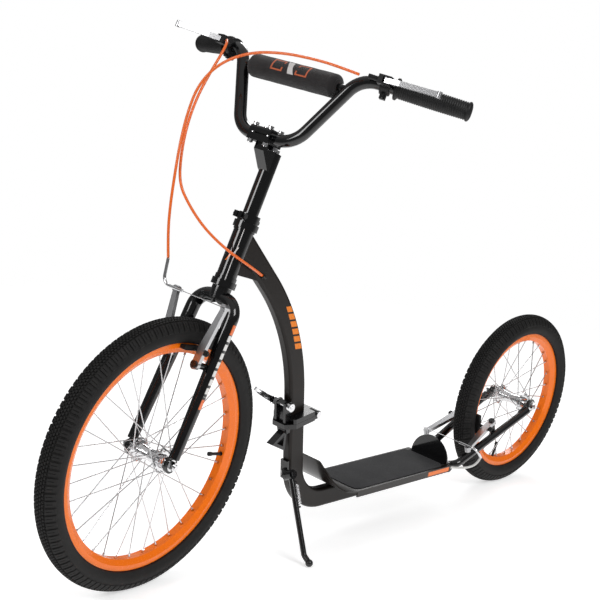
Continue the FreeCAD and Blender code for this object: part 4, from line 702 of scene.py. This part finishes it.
def tyre_surface(place, outer, pitch, depth):
    """A closed ring of a tyre section. Around the crown circle the section's radius is the casing's plus the
    tread height; below the rim's edge the profile turns in to the beads and back along the inner wall."""
    crown = outer - SECTION_RADIUS
    count = int(round(2 * math.pi * outer / pitch))
    # grid lines at the blocks' edges: shares of a pitch around the wheel, degrees from the crown across it
    shares = np.array([0.02, 0.05, 0.10, 0.15, 0.25, 0.29, 0.35, 0.43, 0.46, 0.48, 0.52, 0.54, 0.57, 0.65,
                       0.71, 0.75, 0.85, 0.90, 0.95, 0.98])
    steps = count * len(shares)
    turn = ((np.arange(count)[:, None] + shares[None, :]) / count * 2 * math.pi).ravel()
    share = np.tile(shares, count)
    half = np.array([0.6, 3.4, 5.0, 6.0, 7.6, 14.4, 16.0, 17.0, 18.6, 25.4, 27.0, 30.0, 33.0, 36.0, 38.0,
                     60.0, 62.0, 75.0, 78.0, 84.0, 92.0, 102.0, 112.0, 122.0, 131.0])
    angle = np.concatenate([-half[::-1], half])
    casing = SECTION_RADIUS - depth - 2 * SURFACE_GAP
    swell = 0.0016 * np.clip((np.abs(angle) - 60) / 30, 0, 1)
    height = tread_height(share[:, None], angle[None, :], depth)
    height = np.minimum(height, SECTION_RADIUS - SURFACE_GAP - casing - swell[None, :])
    rib = 0.0004 * ((np.abs(angle) > 100) & (np.abs(angle) < 108))
    reach = casing + swell[None, :] + height + rib[None, :]
    radius = crown + reach * np.cos(np.radians(angle))[None, :]
    across = reach * np.sin(np.radians(angle))[None, :]
    bead = crown - 0.0225
    inner = np.array([(bead + 0.0058, 0.0120), (bead + 0.0006, 0.0118), (bead + 0.0006, 0.0090),
                      (bead + 0.0085, 0.0128), (crown - 0.002, 0.0205), (crown + 0.012, 0.0165)])
    tail = np.vstack([inner, (inner * (1, -1))[::-1]])
    radius = np.hstack([radius, np.tile(tail[:, 0], (steps, 1))])
    across = np.hstack([across, np.tile(tail[:, 1], (steps, 1))])
    local = np.stack([radius * np.cos(turn)[:, None], across, radius * np.sin(turn)[:, None]], axis=2)
    quads = grid_quads(steps, radius.shape[1], wrap_rows=True, wrap_columns=True)
    return place.row(local.reshape(-1, 3)), quads


class SCOOTER_OT_tyres(bpy.types.Operator):
    """Build both knobby tyres"""
    bl_idname = "scooter.tyres"
    bl_label = "Tyres"

    def execute(self, context):
        sizes = context.scene.scooter_tyres
        for name, place, outer in (("front", front_wheel, FRONT_TYRE_RADIUS),
                                   ("rear", rear_wheel, REAR_TYRE_RADIUS)):
            points, quads = tyre_surface(place, outer, sizes.tread_pitch, sizes.tread_depth)
            tyre = make_piece(name + "_knobby_tyre", points, quads, name + "_wheel",
                              MATERIALS["tyre"])
            sharp_by_angle(tyre, 32)
            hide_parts(name + "_tyre")
            finish_node(name + "_inner_tube", MATERIALS["plastic"])
        return {"FINISHED"}


class SCOOTER_OT_wheels(bpy.types.Operator):
    """Finish the rims, spokes and hubs"""
    bl_idname = "scooter.wheels"
    bl_label = "Rims and spokes"

    def execute(self, context):
        for name in ("front", "rear"):
            finish_node(name + "_rim", MATERIALS["orange"])
            finish_node(name + "_spokes", MATERIALS["steel"])
            for part in ("_spoke_nipples", "_hub", "_axle", "_axle_nuts"):
                finish_node(name + part, MATERIALS["chrome"])
        return {"FINISHED"}


# ---- bar pad and grips ---------------------------------------------------------------------------
def pad_surface(place, half, radius):
    """A stuffed roll about the place's second axis. The radius falls off in a quarter ellipse over the last
    stretch at each end, dips in three shallow rings, and pinches along the closing seam behind."""
    end = 0.010                  # length over which each end rounds off
    crowding, sides = 1.6, 96    # how closely the end rings crowd outwards, and points round the roll
    end_steps = np.linspace(0, 1, 9)[1:]
    stretch = np.concatenate([end_steps ** crowding * end, np.linspace(end, 2 * half - end, 73)[1:],
                              2 * half - end * (np.linspace(1, 0, 9)[1:-1] ** crowding)])
    turn = np.linspace(0, 2 * math.pi, sides, endpoint=False)
    from_end = np.minimum(stretch, 2 * half - stretch)
    cap = np.sqrt(np.clip(1 - (1 - np.clip(from_end / end, 0, 1)) ** 2, 0, 1))
    soft = radius * (0.45 + 0.55 * cap)
    position = stretch / (2 * half)
    ripple = 0.0004 * np.sin(position * 2 * math.pi * 5)[:, None] * np.cos(3 * turn)[None, :]
    seam = 0.0022 * np.exp(-((np.angle(np.exp(1j * (turn - math.pi))) / 0.09) ** 2))[None, :]
    reach = soft[:, None] - ripple - seam * cap[:, None]
    reach = np.minimum(reach, radius)
    local = np.stack([reach * np.cos(turn)[None, :], np.repeat((stretch - half)[:, None], len(turn), axis=1),
                      reach * np.sin(turn)[None, :]], axis=2)
    return stretch, turn, place.row(local.reshape(-1, 3))


class SCOOTER_OT_pad(bpy.types.Operator):
    """Build the foam roll on the crossbar"""
    bl_idname = "scooter.pad"
    bl_label = "Bar pad"

    def execute(self, context):
        share = (CROSSBAR_RISE - CLAMP_RISE) / (BAR_SHOULDER_RISE - CLAMP_RISE)
        fore = CLAMP_REACH + share * (BAR_SHOULDER_REACH - CLAMP_REACH)
        place = steering.shifted((fore, 0.0, CROSSBAR_RISE))
        slope = (BAR_SHOULDER_HALF - BAR_BASE_HALF) / (BAR_SHOULDER_RISE - CLAMP_RISE)
        half = (BAR_BASE_HALF + share * (BAR_SHOULDER_HALF - BAR_BASE_HALF)
                - slope * PAD_RADIUS - BAR_RADIUS - 0.002)
        stretch, turn, points = pad_surface(place, half, PAD_RADIUS)
        quads = grid_quads(len(stretch), len(turn), wrap_columns=True)
        # the crossbar leaves through the middle of each end, which is closed around it
        ends = place.row([(0.0, -half, 0.0), (0.0, half, 0.0)])
        first, last = len(points), len(points) + 1
        ring = np.arange(len(turn))
        ring_next = (ring + 1) % len(turn)
        base = (len(stretch) - 1) * len(turn)
        faces = [tuple(quad) for quad in quads]
        faces += fan(ring_next, ring, first) + fan(base + ring, base + ring_next, last)
        points = np.vstack([points, ends])
        motif_turn = math.radians(25)
        around = np.angle(np.exp(1j * (turn - motif_turn))) * PAD_RADIUS
        uv = np.stack([np.repeat(0.5 + stretch - half, len(turn)),
                       np.tile(0.5 + around, len(stretch))], axis=1)
        uv = np.vstack([uv, [[0.5 - half, 0.5], [0.5 + half, 0.5]]])
        pad = make_piece("bar_pad_cover", points, faces, "steering", MATERIALS["cloth"], uv=uv)
        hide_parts("bar_pad")
        return {"FINISHED"}


def grip_profile():
    """The grip's closed outline of (radius, distance in from the bar's end): fine rings between a flange and
    a domed end."""
    ring_count = 30
    rings = np.linspace(0.006, GRIP_LENGTH - 0.008, ring_count * 4 + 1)
    wave = np.tile([0.0, 1.0, 1.0, 0.0], ring_count + 1)[:len(rings)]
    barrel = 0.0005 * np.sin((rings - rings[0]) / (rings[-1] - rings[0]) * math.pi)
    outer = [(GRIP_RADIUS - 0.0013 + 0.0008 * w + b, x) for w, b, x in zip(wave, barrel, rings)]
    dome = [(0.0, -0.0030), (0.006, -0.0029), (0.011, -0.0024), (0.0145, -0.0012), (0.0166, 0.0006),
            (0.0170, 0.0026), (0.0164, 0.0040), (0.0152, 0.0046)]
    flange = [(GRIP_RADIUS - 0.001, GRIP_LENGTH - 0.006), (GRIP_FLANGE_RADIUS - 0.001, GRIP_LENGTH - 0.0042),
              (GRIP_FLANGE_RADIUS, GRIP_LENGTH - 0.0034), (GRIP_FLANGE_RADIUS, GRIP_LENGTH - 0.0008),
              (GRIP_FLANGE_RADIUS - 0.0006, GRIP_LENGTH), (BAR_RADIUS + SURFACE_GAP, GRIP_LENGTH),
              (BAR_RADIUS + SURFACE_GAP, 0.0), (0.0, 0.0)]
    return np.array(dome + outer + flange)


class SCOOTER_OT_grips(bpy.types.Operator):
    """Build the ribbed rubber grips"""
    bl_idname = "scooter.grips"
    bl_label = "Grips"

    def execute(self, context):
        for name, sign in (("left", 1), ("right", -1)):
            end = grip_place(sign)
            profile = grip_profile() * (1, -1)
            place = Place(end.origin, end.axes[1], end.axes[0], np.cross(end.axes[1], end.axes[0]))
            steps = 56    # points round the grip
            turn = np.linspace(0, 2 * math.pi, steps, endpoint=False)
            inner = profile[1:-1]
            local = np.stack([np.outer(np.cos(turn), inner[:, 0]), np.tile(inner[:, 1], (steps, 1)),
                              np.outer(np.sin(turn), inner[:, 0])], axis=2).reshape(-1, 3)
            points = place.row(np.vstack([local, [(0, profile[0, 1], 0), (0, profile[-1, 1], 0)]]))
            columns = len(inner)
            faces = [tuple(quad) for quad in grid_quads(steps, columns, wrap_rows=True)]
            ring = np.arange(steps) * columns
            ring_next = (np.arange(steps) + 1) % steps * columns
            tip, foot = steps * columns, steps * columns + 1
            faces += fan(ring, ring_next, tip) + fan(ring_next + columns - 1, ring + columns - 1, foot)
            grip = make_piece(name + "_ribbed_grip", points, faces, "steering",
                              MATERIALS["grip"])
            recalculate_outside(grip)
            sharp_by_angle(grip, 40)
            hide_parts(name + "_grip")
        return {"FINISHED"}


class SCOOTER_OT_bars(bpy.types.Operator):
    """Finish the fork, stem, bar and levers"""
    bl_idname = "scooter.bars"
    bl_label = "Fork, stem and bar"

    def execute(self, context):
        finish_node("fork", MATERIALS["fork"])
        for name in ("headset_collar", "stem", "handlebar", "bar_clamp_cap"):
            finish_node(name, MATERIALS["black"])
        finish_node("stem_bolts", MATERIALS["chrome"])
        for side in ("left", "right"):
            finish_node(side + "_lever_bracket", MATERIALS["plastic"])
            finish_node(side + "_brake_lever", MATERIALS["silver"])
        return {"FINISHED"}


# ---- cables --------------------------------------------------------------------------------------
# control points: (along the steering axis, forward, left) in the first two, (forward, left, up) in the last
FRONT_ROUTE = [
    (0.354, 0.045, 0.146), (0.357, 0.056, 0.100), (0.356, 0.066, 0.052), (0.351, 0.077, 0.000),
    (0.336, 0.090, -0.055), (0.303, 0.102, -0.101), (0.255, 0.111, -0.122), (0.200, 0.114, -0.119),
    (0.145, 0.113, -0.110), (0.092, 0.109, -0.099), (0.040, 0.097, -0.094), (-0.006, 0.080, -0.091),
    (-0.044, 0.062, -0.0865)]
REAR_ROUTE = [
    (0.356, 0.042, -0.160), (0.348, 0.057, -0.143), (0.322, 0.067, -0.138), (0.283, 0.082, -0.133),
    (0.235, 0.096, -0.128), (0.182, 0.103, -0.120), (0.130, 0.103, -0.108), (0.082, 0.096, -0.094),
    (0.052, 0.081, -0.066), (0.028, 0.066, -0.035), (0.012, 0.050, -0.005), (0.002, 0.032, 0.018),
    (-0.004, 0.004, 0.0265), (-0.009, -0.032, 0.026), (-0.014, -0.068, 0.020)]
TAIL_ROUTE = [
    (-0.842, 0.050, 0.097), (-0.862, 0.058, 0.095), (-0.884, 0.071, 0.096), (-0.900, 0.082, 0.105),
    (-0.904, 0.086, 0.120)]


def housing(name, line, body, material, reference):
    """A cable housing: a round tube along a line whose points are first spread evenly over its length."""
    spacing, fewest, sides = 0.004, 24, 16
    length = np.concatenate([[0], np.cumsum(np.linalg.norm(np.diff(line, axis=0), axis=1))])
    even = np.linspace(0, length[-1], max(fewest, int(length[-1] / spacing)))
    line = np.stack([np.interp(even, length, line[:, axis]) for axis in range(3)], axis=1)
    points, faces = swept_tube(line, HOUSING_RADIUS, sides, reference)
    piece = make_piece(name, points, faces, body, material)
    recalculate_outside(piece)
    return piece


class SCOOTER_OT_cables(bpy.types.Operator):
    """Build the cable housings and finish the guide pipes"""
    bl_idname = "scooter.cables"
    bl_label = "Brake cables"

    def execute(self, context):
        front = spline_points(steering.row([(f, y, s) for s, f, y in FRONT_ROUTE]))
        rear = spline_points(steering.row([(f, y, s) for s, f, y in REAR_ROUTE]))
        tail = spline_points(bike.row(TAIL_ROUTE))
        reference = steering.axes[1] * 0.3 + steering.axes[0]
        front_piece = housing("front_cable_housing", front, "steering",
                              MATERIALS["orange_housing"], reference)
        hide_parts("front_brake_cable")
        rear_piece = housing("rear_cable_housing", rear, None,
                             MATERIALS["orange_housing"], reference)
        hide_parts("rear_brake_cable")
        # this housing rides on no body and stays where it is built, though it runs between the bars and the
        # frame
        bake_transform(rear_piece)
        tail_piece = housing("tail_cable_housing", tail, "deck_frame",
                             MATERIALS["silver_housing"], upright_axis)
        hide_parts("tail_brake_cable")
        for name in ("front_brake_noodle", "rear_brake_noodle"):
            finish_node(name, MATERIALS["chrome"])
        return {"FINISHED"}


class SCOOTER_OT_brakes(bpy.types.Operator):
    """Finish the brake arms and blocks"""
    bl_idname = "scooter.brakes"
    bl_label = "Rim brakes"

    def execute(self, context):
        for end in ("front", "rear"):
            for side in ("left", "right"):
                finish_node(f"{end}_brake_arm_{side}", MATERIALS["silver"])
                finish_node(f"{end}_brake_pad_{side}", MATERIALS["pad_block"])
        return {"FINISHED"}


class SCOOTER_OT_frame(bpy.types.Operator):
    """Finish the frame, hinge and deck"""
    bl_idname = "scooter.frame"
    bl_label = "Frame and deck"

    def execute(self, context):
        for name in ("main_tube", "lower_tube"):
            finish_node(name, MATERIALS["tube"])
        finish_node("head_tube", MATERIALS["head"])
        for name in ("headset_cups", "rear_stays", "heel_guard"):
            finish_node(name, MATERIALS["black"])
        for name in ("upper_hinge_plate", "lower_hinge_plate", "stand_bracket", "stand_leg", "release_pedal"):
            finish_node(name, MATERIALS["hinge"])
        for name in ("hinge_pin", "clamp_bolt", "clamp_lever", "headset_balls"):
            finish_node(name, MATERIALS["chrome"])
        finish_node("deck_board", MATERIALS["deck"])
        finish_node("grip_sheet", MATERIALS["grit"])
        return {"FINISHED"}


def coil_line(start, end, radius, turns, per_turn=20):
    """A helix from start to end: p + r (cos a n + sin a b), with a hook drawn in to the axis at each end.
    Towards each end the radius falls off over 0.6 of a turn and the turns lie closer."""
    start, end = np.asarray(start, float), np.asarray(end, float)
    along = unit(end - start)
    across = unit(np.cross(along, (0.3, 1.0, 0.2)))
    other = np.cross(along, across)
    share = np.linspace(0, 1, turns * per_turn)
    reach = radius * np.clip(np.minimum(share, 1 - share) * turns / 0.6, 0.12, 1.0)
    angle = share * turns * 2 * math.pi
    stretch = np.clip((share - 0.04) / 0.92, 0, 1) * 0.86 + share * 0.14
    return (start + np.outer(stretch * np.linalg.norm(end - start), along)
            + reach[:, None] * (np.outer(np.cos(angle), across) + np.outer(np.sin(angle), other)))


class SCOOTER_OT_spring(bpy.types.Operator):
    """Build the side stand's coil spring"""
    bl_idname = "scooter.spring"
    bl_label = "Stand spring"

    def execute(self, context):
        mesh = NODES["stand_spring"].data
        flat = np.zeros(len(mesh.vertices) * 3)
        mesh.vertices.foreach_get("co", flat)
        cloud = flat.reshape(-1, 3)
        centre = cloud.mean(axis=0)
        direction = np.linalg.svd(cloud - centre, full_matrices=False)[2][0]
        reach = (cloud - centre) @ direction
        line = coil_line(centre + direction * reach.min(), centre + direction * reach.max(),
                         SPRING_RADIUS - SPRING_WIRE, SPRING_TURNS)
        points, faces = swept_tube(line, SPRING_WIRE, 8, direction)
        spring = make_piece("stand_coil_spring", points, faces, "deck_frame", MATERIALS["chrome"])
        recalculate_outside(spring)
        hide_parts("stand_spring")
        return {"FINISHED"}


# ---- stage ---------------------------------------------------------------------------------------
def soft_lamp(name, place, target, size, power):
    """A square area lamp that faces a target."""
    data = bpy.data.lights.new(name, "AREA")
    data.shape = "SQUARE"
    data.size = size
    data.energy = power
    lamp = bpy.data.objects.new(name, data)
    lamp.location = place
    lamp.rotation_euler = (Vector(target) - Vector(place)).to_track_quat("-Z", "Y").to_euler()
    bpy.context.scene.collection.objects.link(lamp)


class SCOOTER_OT_stage(bpy.types.Operator):
    """Set the floor, lights and camera"""
    bl_idname = "scooter.stage"
    bl_label = "Stage"

    def execute(self, context):
        scene = context.scene
        sizes = scene.scooter_stage
        material, tree, shader, coordinates = new_material(
            "pale_floor", Roughness=0.9, Specular_IOR_Level=0.1, Emission_Color=(1.0, 1.0, 1.0, 1.0),
            Emission_Strength=0.55)
        tone = add_noise(tree, coordinates.outputs["Object"], scale=3.0)
        paint = add_mix(tree, tone, (0.86, 0.86, 0.86), (0.90, 0.90, 0.90))
        tree.links.new(paint, shader.inputs["Base Color"])
        distance = tree.nodes.new("ShaderNodeVectorMath")
        distance.operation = "LENGTH"
        tree.links.new(coordinates.outputs["Object"], distance.inputs[0])
        fade_start, fade_end, reach = 1.0, 2.6, 3.0
        clear = add_range(tree, distance.outputs["Value"], fade_start, fade_end, 1.0, 0.0)
        tree.links.new(clear, shader.inputs["Alpha"])
        mesh = bpy.data.meshes.new("floor")
        mesh.from_pydata([(-reach, -reach, 0), (reach, -reach, 0), (reach, reach, 0), (-reach, reach, 0)], [],
                         [(0, 1, 2, 3)])
        floor = bpy.data.objects.new("floor", mesh)
        floor.data.materials.append(material)
        scene.collection.objects.link(floor)

        # the camera stands ahead and to the left; its target is over the line the tyres' sections lean about
        yaw, pitch, roll = math.radians(41.6), math.radians(10.87), math.radians(5.13)
        target_behind, target_height = 0.37596, 0.48965
        lean_line = rear_hub[1] - (REAR_TYRE_RADIUS - SECTION_RADIUS) * upright_axis[1]
        target = Vector((bike.origin[0] - target_behind, lean_line, target_height))
        back = Vector((math.cos(pitch) * math.cos(yaw), math.cos(pitch) * math.sin(yaw), math.sin(pitch)))
        right = Vector((0, 0, 1)).cross(back).normalized()
        up = back.cross(right)
        turned_right = right * math.cos(roll) + up * math.sin(roll)
        turned_up = up * math.cos(roll) - right * math.sin(roll)
        data = bpy.data.cameras.new("camera")
        data.lens = sizes.focal_length
        data.sensor_width = 36.0
        data.clip_start, data.clip_end = 0.05, 100.0
        camera = bpy.data.objects.new("camera", data)
        rotation = Matrix((turned_right, turned_up, back)).transposed()
        camera.matrix_world = Matrix.Translation(target + back * sizes.camera_distance) @ rotation.to_4x4()
        scene.collection.objects.link(camera)
        scene.camera = camera

        world = bpy.data.worlds.new("studio")
        scene.world = world
        world.use_nodes = True
        tree = world.node_tree
        background = tree.nodes["Background"]
        path = tree.nodes.new("ShaderNodeLightPath")
        sky = tree.nodes.new("ShaderNodeTexCoord")
        split = tree.nodes.new("ShaderNodeSeparateXYZ")
        tree.links.new(sky.outputs["Generated"], split.inputs[0])
        # the camera sees plain white, while the light comes mostly from overhead
        overhead = add_range(tree, split.outputs["Z"], 0.35, 0.9, 0.16, 0.50)
        seen = path.outputs["Is Camera Ray"]
        tree.links.new(add_math(tree, "MAXIMUM", seen, overhead), background.inputs["Strength"])
        background.inputs["Color"].default_value = (1.0, 1.0, 1.0, 1.0)
        centre = (0.0, 0.0, 0.4)
        for name, place, size, watts in (("key_lamp", (0.4, 3.4, 3.0), 1.8, 72),
                                         ("front_lamp", (3.4, -0.6, 2.2), 1.2, 36),
                                         ("back_lamp", (-2.8, -2.0, 2.6), 1.4, 32)):
            soft_lamp(name, place, centre, size, watts * sizes.light_power)
        scene.view_settings.view_transform = "Standard"
        return {"FINISHED"}


class SCOOTER_PT_panel(bpy.types.Panel):
    """The sidebar panel that lists the scooter's operators"""
    bl_idname = "SCOOTER_PT_panel"
    bl_label = "Kick scooter"
    bl_space_type = "VIEW_3D"
    bl_region_type = "UI"
    bl_category = "Scooter"

    def draw(self, context):
        for group in ("scooter_looks", "scooter_tyres", "scooter_stage"):
            settings = getattr(context.scene, group)
            for name in settings.__annotations__:
                self.layout.prop(settings, name)
        for operator in OPERATORS:
            self.layout.operator(operator.bl_idname)


OPERATORS = (SCOOTER_OT_tyres, SCOOTER_OT_wheels, SCOOTER_OT_pad, SCOOTER_OT_grips, SCOOTER_OT_bars,
             SCOOTER_OT_cables, SCOOTER_OT_brakes, SCOOTER_OT_frame, SCOOTER_OT_spring, SCOOTER_OT_stage)
CLASSES = (ScooterLooks, TyreSizes, StageSizes, *OPERATORS, SCOOTER_PT_panel)


def register():
    """Registers the classes and hangs the settings on the scene."""
    for item in CLASSES:
        bpy.utils.register_class(item)
    bpy.types.Scene.scooter_looks = bpy.props.PointerProperty(type=ScooterLooks)
    bpy.types.Scene.scooter_tyres = bpy.props.PointerProperty(type=TyreSizes)
    bpy.types.Scene.scooter_stage = bpy.props.PointerProperty(type=StageSizes)


def unregister():
    """Undoes register."""
    for name in ("scooter_looks", "scooter_tyres", "scooter_stage"):
        delattr(bpy.types.Scene, name)
    for item in reversed(CLASSES):
        bpy.utils.unregister_class(item)


def main():
    """Builds every piece in order."""
    register()
    make_materials(bpy.context.scene.scooter_looks)
    for operator in OPERATORS:
        getattr(bpy.ops.scooter, operator.bl_idname.split(".")[1])()


if __name__ == "__main__":
    main()
